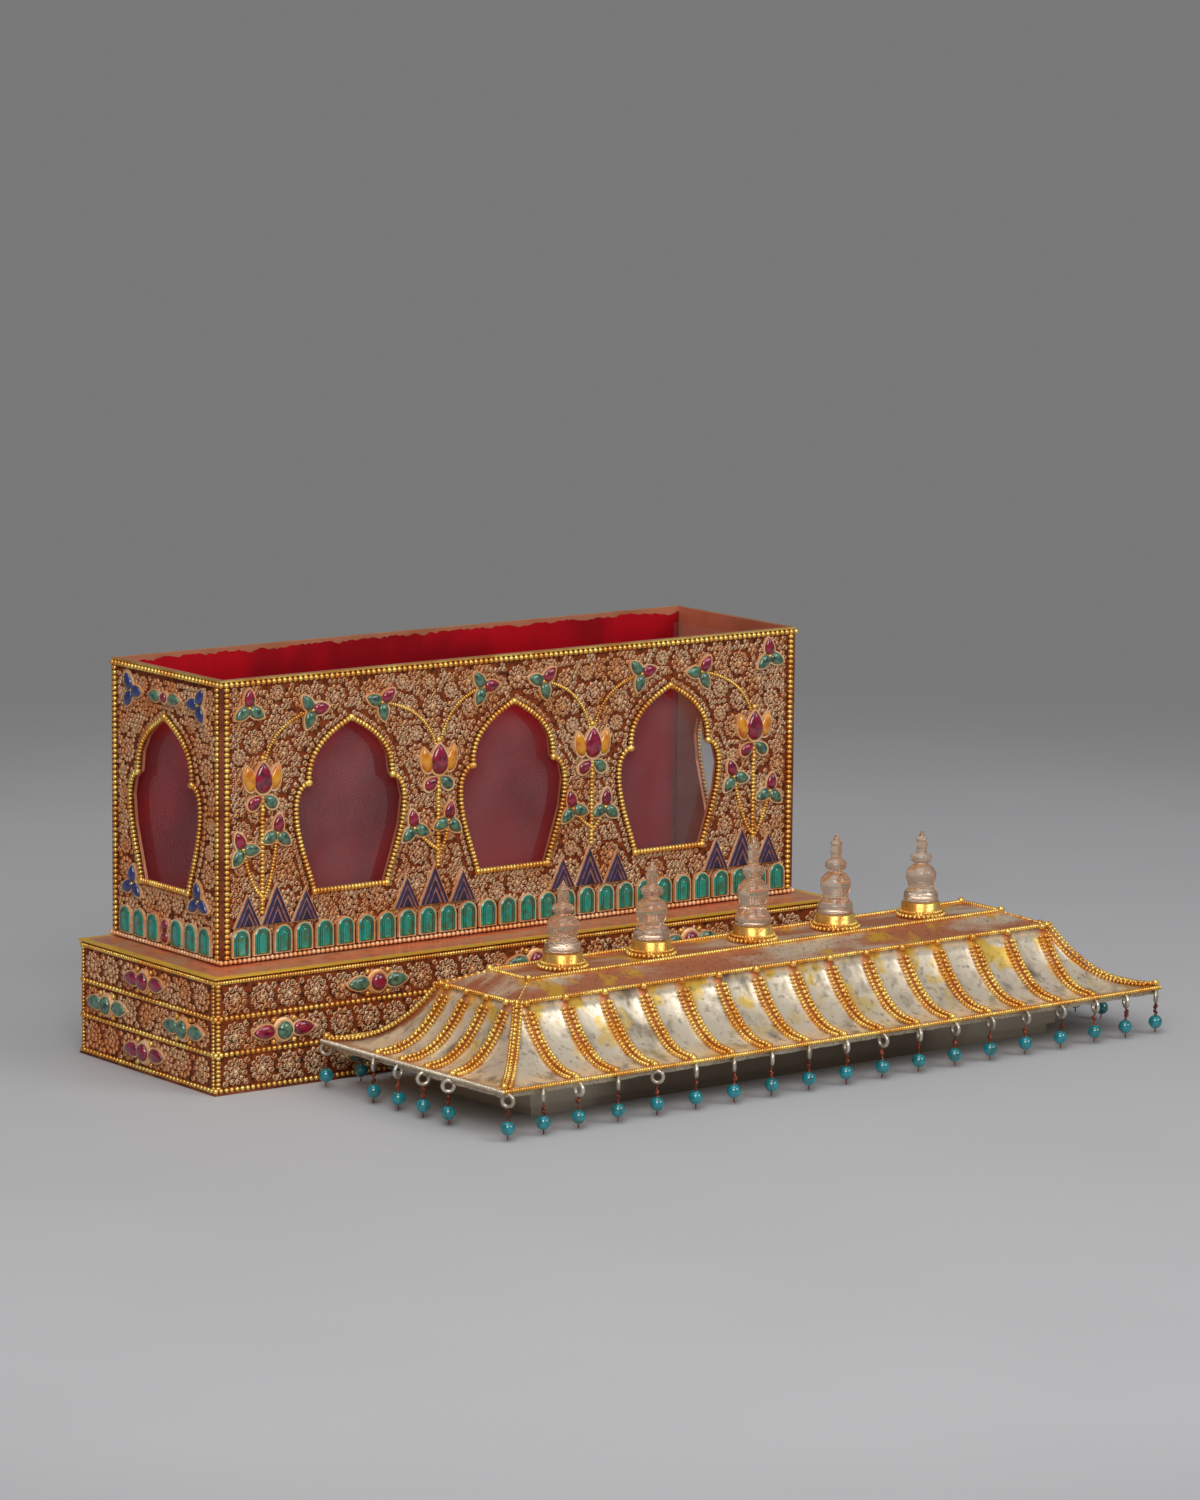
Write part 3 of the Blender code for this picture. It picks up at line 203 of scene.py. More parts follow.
class AltarBoxSizes(bpy.types.PropertyGroup):
    """Sizes of the ornament."""

    curl_radius: length("Scroll radius", "Radius of one filigree scroll", 0.00142, 0.0005)
    curl_wire: length("Scroll wire", "Thickness of the flat filigree wire", 0.00046, 0.0002)
    curl_height: length("Scroll height", "How far the filigree stands up", 0.00090, 0.0002)
    rosette_radius: length("Rosette radius", "Radius of a whole filigree rosette", 0.0062, 0.003)
    row_bead: length("Row bead", "Width of the beads along the edges", 0.0029, 0.001)
    frame_bead: length("Window bead", "Width of the ring beads round the windows", 0.0032, 0.001)
    frame_pitch: length("Window bead pitch", "Distance between window beads", 0.00195, 0.001)
    branch_bead: length("Branch bead", "Width of the beads on side stems", 0.0019, 0.0008)
    ball: length("Ball", "Width of the single gilt balls", 0.0035, 0.001)
    bezel: length("Bezel", "Width of the metal rim round a stone", 0.00085, 0.0002)
    rib_bead: length("Rib bead", "Width of the middle beads of a roof rib", 0.0027, 0.001)
    drop_bead: length("Drop bead", "Width of a turquoise drop", 0.0067, 0.003)
    velvet: length("Velvet", "Thickness of the velvet", 0.0006, 0.0002)


class AltarBoxColours(bpy.types.PropertyGroup):
    """Colours of the metals and stones."""

    gold: colour("Gold", "Bright gilding", 255, 220, 122)
    old_gold: colour("Old gold", "Worn gilding", 232, 166, 74)
    copper: colour("Copper", "Filigree wire", 255, 218, 178)
    red_copper: colour("Red copper", "Bare copper sheet", 224, 152, 116)
    # Painted shade: this dark ground colour also stands in for the shade between the scrolls
    ground_and_shade: colour("Hollow", "Ground and painted shade between the scrolls", 148, 70, 28)
    silver: colour("Silver", "Silver-washed sheet", 238, 224, 200)
    ruby: colour("Ruby", "Red cabochons", 150, 10, 52)
    green: colour("Green stone", "Green cabochons", 84, 124, 98)
    amber: colour("Amber", "Amber petals", 222, 150, 20)
    lapis: colour("Lapis", "Blue carved stone", 40, 30, 74)
    turquoise: colour("Turquoise", "Tiles and drops", 24, 150, 134)
    velvet: colour("Velvet", "Velvet lining", 156, 2, 18)
    floor: colour("Floor", "Ground under the box", 188, 188, 190)


def sizes():
    return bpy.context.scene.altar_box_sizes


def tint(colour):
    """A colour of the panel by its name, or one of its own by its levels on a screen."""
    if isinstance(colour, str):
        return tuple(getattr(bpy.context.scene.altar_box_colours, colour))
    return shade(*colour)


# Materials

PREFIX = "altar_"


class Level:
    """A value or colour inside a material that can be reckoned with."""

    def __init__(self, paint, socket):
        self.paint = paint
        self.socket = socket

    def reckon(self, operation, *inputs):
        return self.paint.node("ShaderNodeMath", {"operation": operation}, dict(enumerate(inputs)))

    def __add__(self, other):
        return self.reckon("ADD", self, other)

    def __sub__(self, other):
        return self.reckon("SUBTRACT", self, other)

    def __rsub__(self, other):
        return self.reckon("SUBTRACT", other, self)

    def __mul__(self, other):
        return self.reckon("MULTIPLY", self, other)

    def __abs__(self):
        return self.reckon("ABSOLUTE", self)

    def __or__(self, other):
        """The greater of the two."""
        return self.reckon("MAXIMUM", self, other)

    def between(self, low, high):
        """0 below low and 1 above high, with a soft step."""
        settings = {"interpolation_type": "SMOOTHSTEP"}
        return self.paint.node("ShaderNodeMapRange", settings, {0: self, 1: low, 2: high})


class Paint:
    """One material. What is the same all over is set on its shader, what varies is joined to it."""

    def __init__(self, name, colour, roughness, metallic=0.0):
        self.material = bpy.data.materials.new(PREFIX + name)
        self.material.use_nodes = True
        self.tree = self.material.node_tree
        self.shader = next(node for node in self.tree.nodes if node.type == "BSDF_PRINCIPLED")
        self.place = self.node("ShaderNodeTexCoord", {}, {}, "Object")
        self.set("Base Color", colour)
        self.set("Roughness", roughness)
        self.set("Metallic", metallic)
        self.material.diffuse_color = (0.5, 0.4, 0.3, 1.0)

    def fill(self, socket, value):
        if isinstance(value, Level):
            self.tree.links.new(value.socket, socket)
        elif socket.type == "RGBA":
            socket.default_value = (*value, 1.0)
        else:
            socket.default_value = value

    def node(self, kind, settings, inputs, output=0):
        made = self.tree.nodes.new(kind)
        for name, value in settings.items():
            setattr(made, name, value)
        for key, value in inputs.items():
            self.fill(made.inputs[key], value)
        return Level(self, made.outputs[output])

    def set(self, name, value):
        self.fill(self.shader.inputs[name], value)

    def mix(self, share, one, other):
        return self.node("ShaderNodeMix", {"data_type": "RGBA"}, {0: share, 6: one, 7: other}, 2)

    def axis(self, number, place=None):
        """How far along X or Y a spot lies."""
        return self.node("ShaderNodeSeparateXYZ", {}, {0: place or self.place}, number)

    def noise(self, scale, detail, stretched=None):
        place = self.place
        if stretched:
            place = self.node("ShaderNodeMapping", {}, {"Vector": place, "Scale": stretched})
        return self.node("ShaderNodeTexNoise", {}, {"Vector": place, "Scale": scale, "Detail": detail})

    def bump(self, level, depth):
        inputs = {"Height": level, "Distance": depth, "Strength": 0.6}
        self.set("Normal", self.node("ShaderNodeBump", {}, inputs))


# Bright colour, deep colour, fine spots, roughness, metallic
METALS = {
    "gold": ("gold", "old_gold", (170, 88, 30), 0.26, 0.75),
    "copper_gold": ((255, 216, 170), (244, 180, 116), (210, 130, 84), 0.30, 0.35),
    "filigree_copper": ("copper", (252, 184, 128), (255, 214, 136), 0.30, 0.2),
    # A darker copy of the filigree copper for the ends and back: painted shade on the faces turned from the light
    "shaded_end_copper": ((255, 208, 160), (250, 166, 106), (220, 126, 72), 0.32, 0.2),
    "plain_silver": ("silver", (214, 200, 176), (160, 130, 98), 0.34, 0.75),
    "ring_silver": ((222, 212, 196), (176, 164, 144), (140, 120, 100), 0.28, 0.75),
    "drop_copper": ((170, 92, 66), (120, 60, 42), (80, 38, 28), 0.40, 0.75),
}

# Colour, darker tone, roughness, scale of the clouds, coat
STONES = {
    "ruby": ("ruby", (74, 4, 26), 0.08, 420.0, 1.0),
    "green_stone": ("green", (26, 56, 48), 0.09, 420.0, 1.0),
    "amber": ("amber", (190, 96, 14), 0.16, 260.0, 1.0),
    "lapis": ("lapis", (22, 16, 40), 0.42, 180.0, 0.1),
    "blue_lapis": ((34, 48, 116), (20, 26, 66), 0.22, 180.0, 1.0),
    "lapis_line": ((158, 108, 100), (112, 72, 76), 0.5, 400.0, 0.0),
    "turquoise": ("turquoise", (64, 106, 78), 0.16, 380.0, 1.0),
    "tile_line": ((88, 84, 54), (112, 74, 44), 0.5, 600.0, 1.0),
    "tile_spot": ((44, 138, 52), (30, 104, 60), 0.3, 400.0, 1.0),
    "drop_turquoise": ((2, 132, 146), (24, 96, 90), 0.12, 330.0, 1.0),
}
# Near-black colour for the gaps between the scrolls: dirt and painted shade
DIRT_AND_SHADE = (66, 28, 14)
BAND = (0.0026, 0.0018)
SKIN = (0.0006, 0.0004)


def worn_metal(name):
    """Metal that goes from a bright colour to a deep one in blotches, with fine spots of a third."""
    bright, deep, spots, roughness, metallic = METALS[name]
    paint = Paint(name, tint(bright), roughness, metallic)
    blotch = paint.noise(70.0, 3.0).between(0.36, 0.66)
    fine = paint.noise(700.0, 2.0).between(0.48, 0.72)
    tone = paint.mix(blotch, tint(bright), tint(deep))
    paint.set("Base Color", paint.mix(fine * 0.55, tone, tint(spots)))
    paint.set("Roughness", fine * 0.22 + roughness)
    paint.bump(paint.noise(1800.0, 2.0), 0.00006)
    return paint


def stone(name):
    """A polished stone, cloudy with a darker tone."""
    bright, dark, roughness, scale, coat = STONES[name]
    paint = Paint(name, tint(bright), roughness)
    cloud = paint.noise(scale, 4.0).between(0.38, 0.7)
    paint.set("Base Color", paint.mix(cloud, tint(bright), tint(dark)))
    paint.set("Roughness", cloud * 0.12 + roughness)
    paint.set("Coat Weight", coat)
    paint.set("Coat Roughness", 0.04)
    return paint


def bare_copper():
    """Copper sheet inside and behind, and the dark ground under the filigree, darkened with painted shade between
    the scrolls.
    """
    paint = Paint("bare_copper", tint("red_copper"), 0.42, 0.6)
    end = abs(paint.axis(0) - CASE_X).between(*(CASE_LENGTH / 2 - skin for skin in SKIN))
    front = (CASE_Y - paint.axis(1)).between(*(CASE_DEPTH / 2 - skin for skin in SKIN))
    outside = end | front
    streak = paint.noise(34.0, 6.0, (1.0, 1.0, 1.4)).between(0.35, 0.75)
    tone = paint.mix(streak, tint("red_copper"), shade(190, 120, 82))
    fine = paint.noise(420.0, 3.0).between(0.4, 0.7)
    # Outside, the ground is darkened with painted shade between the scrolls
    paint.set("Base Color", paint.mix(outside, tone, paint.mix(fine, tint("ground_and_shade"), tint(DIRT_AND_SHADE))))
    paint.set("Roughness", outside * 0.2 + streak * 0.15 + 0.36)
    paint.bump(paint.noise(350.0, 3.0), 0.0001)
    return paint


def ground_copper():
    """The dark sheet behind the plinth's filigree, darkened with painted shade between the scrolls."""
    paint = Paint("ground_copper", tint("ground_and_shade"), 0.55, 0.6)
    fine = paint.noise(420.0, 3.0).between(0.4, 0.7)
    # Patches of near-black: painted shade between the scrolls, and dirt
    paint.set("Base Color", paint.mix(fine, tint("ground_and_shade"), tint(DIRT_AND_SHADE)))
    paint.set("Roughness", fine * 0.15 + 0.5)
    return paint


def deck_copper():
    """The plinth's top: orange copper streaked with grey green, with a yellow edge."""
    paint = Paint("deck_copper", shade(200, 116, 82), 0.40, 0.5)
    streak = paint.noise(45.0, 4.0, (0.25, 1.6, 1.0)).between(0.42, 0.62)
    tone = paint.mix(streak, shade(226, 134, 94), shade(206, 150, 112))
    patch = paint.noise(160.0, 3.0).between(0.5, 0.7)
    tone = paint.mix(patch * 0.6, tone, shade(190, 94, 62))
    end = abs(paint.axis(0)).between(*(PLINTH_LENGTH / 2 - band for band in BAND))
    side = abs(paint.axis(1)).between(*(PLINTH_DEPTH / 2 - band for band in BAND))
    paint.set("Base Color", paint.mix(end | side, tone, shade(242, 190, 66)))
    paint.set("Roughness", streak * 0.2 + 0.3)
    paint.bump(paint.noise(120.0, 4.0, (0.4, 1.5, 1.0)), 0.0003)
    return paint


def roof_silver():
    """Silver wash worn through to copper beside the ribs, with yellow and grey tarnish."""
    paint = Paint("roof_silver", tint("silver"), 0.34, 0.6)
    spread = paint.node("ShaderNodeUVMap", {"uv_map": "roof"}, {})
    away = paint.axis(0, spread)
    down = paint.axis(1, spread)
    ragged = paint.noise(160.0, 4.0) * 0.9 - 0.45
    kept_below = 1.0 - (down + ragged * 0.4).between(0.84, 0.97) * 0.8
    worn = 1.0 - (away + ragged).between(0.24, 0.60) * kept_below
    grey = paint.noise(90.0, 5.0, (1.0, 1.0, 0.5)).between(0.46, 0.72)
    tone = paint.mix(grey * 0.95, tint("silver"), shade(128, 116, 98))
    yellow = paint.noise(70.0, 3.0).between(0.52, 0.64)
    high = (1.0 - down).between(0.35, 0.95)
    tone = paint.mix(yellow * (high * 0.7 + 0.25), tone, shade(240, 200, 80))
    tone = paint.mix(worn, tone, paint.mix(yellow, shade(200, 128, 84), shade(226, 168, 66)))
    freckle = paint.noise(330.0, 4.0).between(0.54, 0.72)
    paint.set("Base Color", paint.mix(freckle * 0.5, tone, shade(112, 78, 56)))
    paint.set("Roughness", grey * 0.2 + worn * 0.1 + 0.30)
    paint.bump(paint.noise(260.0, 4.0), 0.00025)
    return paint


def strip_silver():
    """The sloping strip and platform of the lid's top."""
    paint = Paint("strip_silver", tint("silver"), 0.38, 0.6)
    streak = paint.noise(40.0, 5.0, (0.5, 2.0, 2.0)).between(0.34, 0.56)
    tone = paint.mix(streak, shade(228, 208, 180), shade(190, 118, 82))
    yellow = paint.noise(55.0, 3.0).between(0.56, 0.66)
    tone = paint.mix(yellow * 0.8, tone, shade(222, 172, 52))
    freckle = paint.noise(500.0, 3.0).between(0.52, 0.7)
    paint.set("Base Color", paint.mix(freckle * 0.5, tone, shade(130, 72, 50)))
    paint.set("Roughness", streak * 0.16 + 0.3)
    paint.bump(paint.noise(220.0, 4.0), 0.0002)
    return paint


def collar_silver():
    """The collar: pale by the corner in front on the left, dark elsewhere with painted shade from the eave."""
    paint = Paint("collar_silver", shade(190, 180, 164), 0.45, 0.6)
    along_lid = paint.axis(0) + paint.noise(60.0, 3.0) * 0.03
    # Painted shade of the eave: dark between the left corner and the right end
    eave_shade = along_lid.between(-0.052, -0.010) * (1.0 - along_lid.between(0.150, 0.205) * 0.8)
    paint.set("Base Color", paint.mix(eave_shade, shade(196, 184, 164), shade(116, 102, 86)))
    paint.bump(paint.noise(300.0, 3.0), 0.0002)
    return paint


def velvet():
    paint = Paint("velvet", tint("velvet"), 0.85)
    brushed = paint.noise(28.0, 4.0).between(0.35, 0.65)
    paint.set("Base Color", paint.mix(brushed, tint("velvet"), shade(124, 1, 14)))
    paint.set("Specular IOR Level", 0.1)
    return paint


def glass():
    """A dusty pane: mostly clear, with a thin veil that is dust and painted reflection of the room."""
    paint = Paint("glass", shade(150, 138, 140), 0.10)
    dust_and_reflection_veil = paint.noise(30.0, 4.0).between(0.3, 0.75)
    paint.set("Base Color", paint.mix(dust_and_reflection_veil, shade(206, 180, 182), shade(170, 146, 150)))
    paint.set("Roughness", dust_and_reflection_veil * 0.1 + 0.25)
    paint.set("Alpha", 0.04)
    return paint


def dust():
    """The dull film on the panes, of dust and painted reflection of the room."""
    paint = Paint("dust", shade(190, 170, 176), 0.6)
    cloud = paint.noise(40.0, 4.0).between(0.3, 0.7)
    paint.set("Base Color", paint.mix(cloud, shade(200, 176, 182), shade(150, 128, 134)))
    paint.set("Alpha", 0.055)
    return paint


def crystal():
    paint = Paint("crystal", shade(255, 236, 222), 0.06)
    cloud = paint.noise(220.0, 4.0).between(0.45, 0.75)
    paint.set("Base Color", paint.mix(cloud, shade(255, 232, 208), shade(248, 208, 178)))
    paint.set("Roughness", cloud * 0.16 + 0.05)
    paint.set("Transmission Weight", 0.88)
    paint.set("IOR", 1.46)
    return paint


def floor_grey():
    """The ground, which fades away towards its rim."""
    paint = Paint("floor_grey", tint("floor"), 0.62)
    mottled = paint.noise(6.0, 3.0).between(0.3, 0.7)
    paint.set("Base Color", paint.mix(mottled * 0.15, tint("floor"), shade(170, 170, 172)))
    away = paint.node("ShaderNodeVectorMath", {"operation": "LENGTH"}, {0: paint.place}, 1)
    paint.set("Alpha", 1.0 - away.between(0.64, 1.25))
    return paint


def finish(name):
    """The material of that name, made when it is first asked for."""
    ready = bpy.data.materials.get(PREFIX + name)
    if ready:
        return ready
    if name in METALS:
        return worn_metal(name).material
    if name in STONES:
        return stone(name).material
    makers = (bare_copper, ground_copper, deck_copper, roof_silver, strip_silver, collar_silver, velvet,
              glass, dust, crystal, floor_grey)
    return next(maker for maker in makers if maker.__name__ == name)().material


# Places


def at(u, v, w=0.0, turn=0.0):
    """A place on a face; turn is in degrees from the direction of u."""
    return Matrix.Translation((u, v, w)) @ Matrix.Rotation(math.radians(turn), 4, "Z")


def face_place(origin, outward):
    out = Vector(outward)
    return Matrix.Translation(origin) @ Matrix((UP.cross(out), UP, out)).transposed().to_4x4()


def box_faces(x, y, base, length, depth):
    return {
        "front": face_place((x, y - depth / 2, base), (0, -1, 0)),
        "back": face_place((x, y + depth / 2, base), (0, 1, 0)),
        "left": face_place((x - length / 2, y, base), (-1, 0, 0)),
        "right": face_place((x + length / 2, y, base), (1, 0, 0)),
    }


CASE_FACES = box_faces(CASE_X, CASE_Y, CASE_BASE, CASE_LENGTH, CASE_DEPTH)
PLINTH_FACES = box_faces(0, 0, 0, PLINTH_LENGTH, PLINTH_DEPTH)


def rectangle(length, depth, height):
    x = length / 2
    y = depth / 2
    return [(-x, -y, height), (x, -y, height), (x, y, height), (-x, y, height)]


def along(points, pitch, closed=False):
    """Places at an even pitch along a line, each with the line's heading there."""
    line = [Vector(point) for point in points]
    if closed:
        line.append(line[0])
    steps = [(after - before) for before, after in zip(line, line[1:])]
    lengths = [step.length for step in steps]
    whole = sum(lengths)
    count = max(1, round(whole / pitch))
    part = 0
    passed = 0.0
    for number in range(count if closed else count + 1):
        target = whole * number / count
        while part < len(steps) - 1 and passed + lengths[part] < target:
            passed += lengths[part]
            part += 1
        yield line[part] + steps[part] * ((target - passed) / lengths[part]), steps[part].normalized()


def swept(start, bend, end, steps=12):
    """Points along a curve that leaves start towards bend and arrives at end."""
    points = []
    for step in range(steps + 1):
        t = step / steps
        curve = zip(start, bend, end)
        points.append([(1 - t) ** 2 * a + 2 * t * (1 - t) * b + t * t * c for a, b, c in curve])
    return points


# Pieces are put together from copies of small shapes


def shape_of(bm, materials, smooth=True):
    """The finished mesh of a small shape."""
    bmesh.ops.recalc_face_normals(bm, faces=bm.faces)
    mesh = bpy.data.meshes.new("shape")
    bm.to_mesh(mesh)
    bm.free()
    for name in materials:
        mesh.materials.append(finish(name))
    mesh.polygons.foreach_set("use_smooth", [smooth] * len(mesh.polygons))
    return mesh


class Work:
    """A piece being put together."""

    def __init__(self, place=None):
        self.bm = bmesh.new()
        self.place = place or Matrix()
        self.materials = []
        self.ready = {}

    def stamp(self, shape, place=None):
        """Adds a copy of a shape at a place on this piece's face."""
        if shape.name not in self.ready:
            ready = shape.copy()
            for material in shape.materials:
                if material not in self.materials:
                    self.materials.append(material)
            numbers = [self.materials.index(material) for material in shape.materials]
            indices = [numbers[face.material_index] for face in ready.polygons]
            ready.polygons.foreach_set("material_index", indices)
            self.ready[shape.name] = ready
        copy = self.ready[shape.name].copy()
        copy.transform(self.place @ place if place else self.place)
        self.bm.from_mesh(copy)
        bpy.data.meshes.remove(copy)

    def row(self, bead, points, pitch, closed=False, twist=0.0):
        """Beads one after another along a line."""
        for place, heading in along(points, pitch, closed):
            turn = heading.to_track_quat("X", "Z").to_matrix().to_4x4()
            self.stamp(bead, Matrix.Translation(place) @ turn @ Matrix.Rotation(twist, 4, "Z"))

    def mesh(self, name):
        mesh = bpy.data.meshes.new(name)
        self.bm.to_mesh(mesh)
        self.bm.free()
        for material in self.materials:
            mesh.materials.append(material)
        for ready in self.ready.values():
            bpy.data.meshes.remove(ready)
        return mesh

    def add(self, name, slot, *replaced):
        return add_piece(name, self.mesh(name), slot, *replaced)


def add_piece(name, mesh, slot, *replaced):
    """Puts a finished mesh into the scene in place of the solids that it stands for."""
    piece = bpy.data.objects.new(name, mesh)
    bpy.context.scene.collection.objects.link(piece)
    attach(piece, "root")
    if replaced:
        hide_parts(*replaced)
    return piece


def dress(node, name):
    """Gives a solid that stays visible its finish."""
    materials = bpy.data.objects[node].data.materials
    materials.clear()
    materials.append(finish(name))


def lofted(levels, materials, smooth=False, numbers=()):
    """A closed shape drawn up through outlines of like corner counts; numbers are their finishes."""
    bm = bmesh.new()
    bmesh.ops.create_circle(bm, cap_ends=True, segments=len(levels[0]), radius=1.0)
    rim = bm.verts[:]
    top = bm.faces[:][0]
    for level, points in enumerate(levels):
        covered = top
        if level:
            made = bmesh.ops.extrude_face_region(bm, geom=[top])["geom"]
            fresh = [item for item in made if isinstance(item, bmesh.types.BMVert)]
            top = next(item for item in made if isinstance(item, bmesh.types.BMFace))
            rim = [min(fresh, key=lambda vertex: (vertex.co - old.co).length_squared) for old in rim]
        for vertex, point in zip(rim, points):
            vertex.co = point
        for vertex in rim:
            for face in vertex.link_faces:
                face.material_index = numbers[level] if numbers else 0
        if level > 1:
            bmesh.ops.delete(bm, geom=[covered], context="FACES_ONLY")
    return shape_of(bm, materials, smooth)


def bead(length, width, material, rounds=1):
    bm = bmesh.new()
    stretch = Matrix.Diagonal((length / 2, width / 2, width / 2, 1))
    bmesh.ops.create_icosphere(bm, subdivisions=rounds, radius=1.0, matrix=stretch)
    return shape_of(bm, [material])


def ball(width=None):
    """A gilt ball."""
    width = width or sizes().ball
    return bead(width, width, "gold", 2)


def curl(material):
    """A scroll of flat wire standing on edge, which closes in towards its end."""
    radius = sizes().curl_radius
    wire = sizes().curl_wire / 2
    bm = bmesh.new()
    bmesh.ops.create_circle(bm, segments=3, radius=1.0)
    corners = ((radius - wire, 0, 0), (radius + wire, 0, 0), (radius, 0, sizes().curl_height))
    for vertex, corner in zip(bm.verts, corners):
        vertex.co = corner
    bmesh.ops.spin(bm, geom=bm.verts[:] + bm.edges[:], cent=(0, 0, 0), axis=UP,
                   angle=SCROLL_TURN, steps=SCROLL_STEPS)
    for number, vertex in enumerate(bm.verts):
        vertex.co.xy *= 1 - SCROLL_CLOSING * (number // 3) / SCROLL_STEPS
    bmesh.ops.holes_fill(bm, edges=bm.edges, sides=3)
    return shape_of(bm, [material])


def hoop(radius, wire, material, steps=16):
    """A ring of round wire lying flat."""
    bm = bmesh.new()
    upright = Matrix.Translation((radius, 0, 0)) @ Matrix.Rotation(math.pi / 2, 4, "X")
    bmesh.ops.create_circle(bm, segments=6, radius=wire, matrix=upright)
    bmesh.ops.spin(bm, geom=bm.verts[:] + bm.edges[:], cent=(0, 0, 0), axis=UP,
                   angle=math.tau, steps=steps, use_merge=True)
    return shape_of(bm, [material])


def rosette(material, swirl):
    """Rings of scrolls round a grain."""
    scroll = curl(material)
    reach = sizes().rosette_radius
    work = Work()
    for share, count in ((0.30, 5), (0.74, 11)):
        for number in range(count):
            turn = 360.0 * number / count + swirl * share * 220.0
            work.stamp(scroll, at(0, 0, 0, turn) @ at(reach * share, 0, 0, 90 + 70 * swirl))
    work.stamp(bead(0.0014, 0.0014, material), at(0, 0, 0.0004))
    return work.mesh("rosette")


def fill_filigree(pick, area, blocked, luck, material, row=False, coarse=1.0):
    """Rosettes set down by chance where there is room, with single scrolls between them.

    The piece that a scroll goes to is picked by its place along the face.
    """
    left, right, low, high = area
    rosettes = [rosette(material, 1), rosette(material, -1)]
    scroll = curl(material)
    placed = []
    whole = sizes().rosette_radius * coarse
    tries = []
    if row:
        count = int((right - left) / (2.03 * whole))
        step = (right - left) / count
        tries += [(1.0, left + step * (number + 0.5), (low + high) / 2) for number in range(count)]
    for share, count in ((1.0, 900), (0.82, 900), (0.66, 1200)):
        reach = whole * share
        for _ in range(count):
            u = luck.uniform(left + reach, right - reach)
            tries.append((share, u, luck.uniform(low + reach, max(low + reach, high - reach))))
    for share, u, v in tries:
        reach = whole * share
        if v + reach > high + 0.0006 or blocked(u, v, reach):
            continue
        if any(math.hypot(u - a, v - b) < reach + other for a, b, other in placed):
            continue
        placed.append((u, v, reach))
        size = Matrix.Diagonal((share * coarse, share * coarse, 1, 1))
        pick(u).stamp(luck.choice(rosettes), at(u, v, 0, luck.uniform(0, 360)) @ size)
    step = 0.00264 * coarse
    radius = sizes().curl_radius * coarse
    for line in range(int((high - low) / (step * 0.88)) + 1):
        v = low + radius + line * step * 0.88
        for place in range(int((right - left) / step) + 1):
            u = left + radius + (place + 0.5 * (line % 2)) * step
            spot = (u + luck.uniform(-0.0003, 0.0003), v + luck.uniform(-0.0002, 0.0002))
            if spot[0] > right - radius or spot[1] > high - radius or blocked(*spot, radius):
                continue
            if any(math.hypot(spot[0] - a, spot[1] - b) < reach + radius * 0.45 for a, b, reach in placed):
                continue
            size = coarse * luck.uniform(0.92, 1.12)
            pick(u).stamp(scroll, at(*spot, 0, luck.uniform(0, 360)) @ Matrix.Diagonal((size, size, 1, 1)))


def plain_block(length, depth, low, high, material, edge=0.0004):
    """A block with slightly eased edges."""
    bm = bmesh.new()
    place = Matrix.Translation((0, 0, (low + high) / 2)) @ Matrix.Diagonal((length, depth, high - low, 1))
    bmesh.ops.create_cube(bm, size=1.0, matrix=place)
    bmesh.ops.bevel(bm, geom=bm.edges[:], offset=edge, segments=2, profile=0.5, affect="EDGES", material=-1)
    return shape_of(bm, [material], False)


# Stones


def outline(length, width):
    """A full teardrop with its point at +X."""
    widest = 0.86
    points = []
    for number in range(18):
        angle = math.tau * number / 18
        across = math.sin(angle) * abs(math.sin(angle / 2)) ** 0.55 / widest
        points.append((length / 2 * math.cos(angle), width / 2 * across))
    return points


def oval(length, width, count=18):
    turns = [math.tau * number / count for number in range(count)]
    return [(length / 2 * math.cos(turn), width / 2 * math.sin(turn)) for turn in turns]


def raised(points, height, share=1.0):
    return [(x * share, y * share, height) for x, y in points]


def set_stone(points, height, stone_name):
    """A cabochon in a metal bezel, standing on w = 0."""
    wide = 1.0 + sizes().bezel / max(math.hypot(x, y) for x, y in points)
    rim = height * 0.52
    bezel = [raised(points, 0, wide), raised(points, rim, wide), raised(points, rim)]
    dome = [raised(points, 0.0002, 0.985)] + [raised(points, height * lift, share) for share, lift in DOME]
    work = Work()
    work.stamp(lofted(bezel + [raised(points, rim * 0.6, 0.99)], ["copper_gold"]))
    work.stamp(lofted(dome, [stone_name], True))
    return work.mesh("set_stone")


def trefoil(work, u, v, turn, stones=LEAVES):
    """Three set teardrops that meet at their round ends, with a gilt ball between."""
    for third, name in enumerate(stones):
        gem = set_stone(outline(*SMALL_DROP), GEM[2], name)
        work.stamp(gem, at(u, v, GAP, turn + 120 * third) @ at(GEM_REACH + 0.0002, 0))
    work.stamp(ball(0.0020), at(u, v, 0.0016))


def triplet(work, u, v, size, middle, outer):
    """A round stone between two teardrops, with a collar and four gilt balls if it has room."""
    width, height, drop_length, drop_width, drop_height, offset, roomy = size
    heart = set_stone(oval(width * 0.76, width * 0.76), height, middle)
    if roomy:
        wide = oval(width * 1.06, width * 1.06)
        collar = [raised(wide, 0), raised(wide, height * 0.20), raised(wide, height * 0.30, 0.95)]
        work.stamp(lofted(collar, ["copper_gold"], True), at(u, v, GAP))
    work.stamp(heart, at(u, v, GAP))
    drop = set_stone(outline(drop_length * 0.94, drop_width * 0.9), drop_height, outer)
    for side in (-1, 1):
        work.stamp(drop, at(u + side * offset * 1.02, v, GAP, 90 - 90 * side))
        for high in (-1, 1) if roomy else ():
            work.stamp(ball(0.0026), at(u + side * 0.0056, v + high * 0.0050, 0.0013))


# Windows


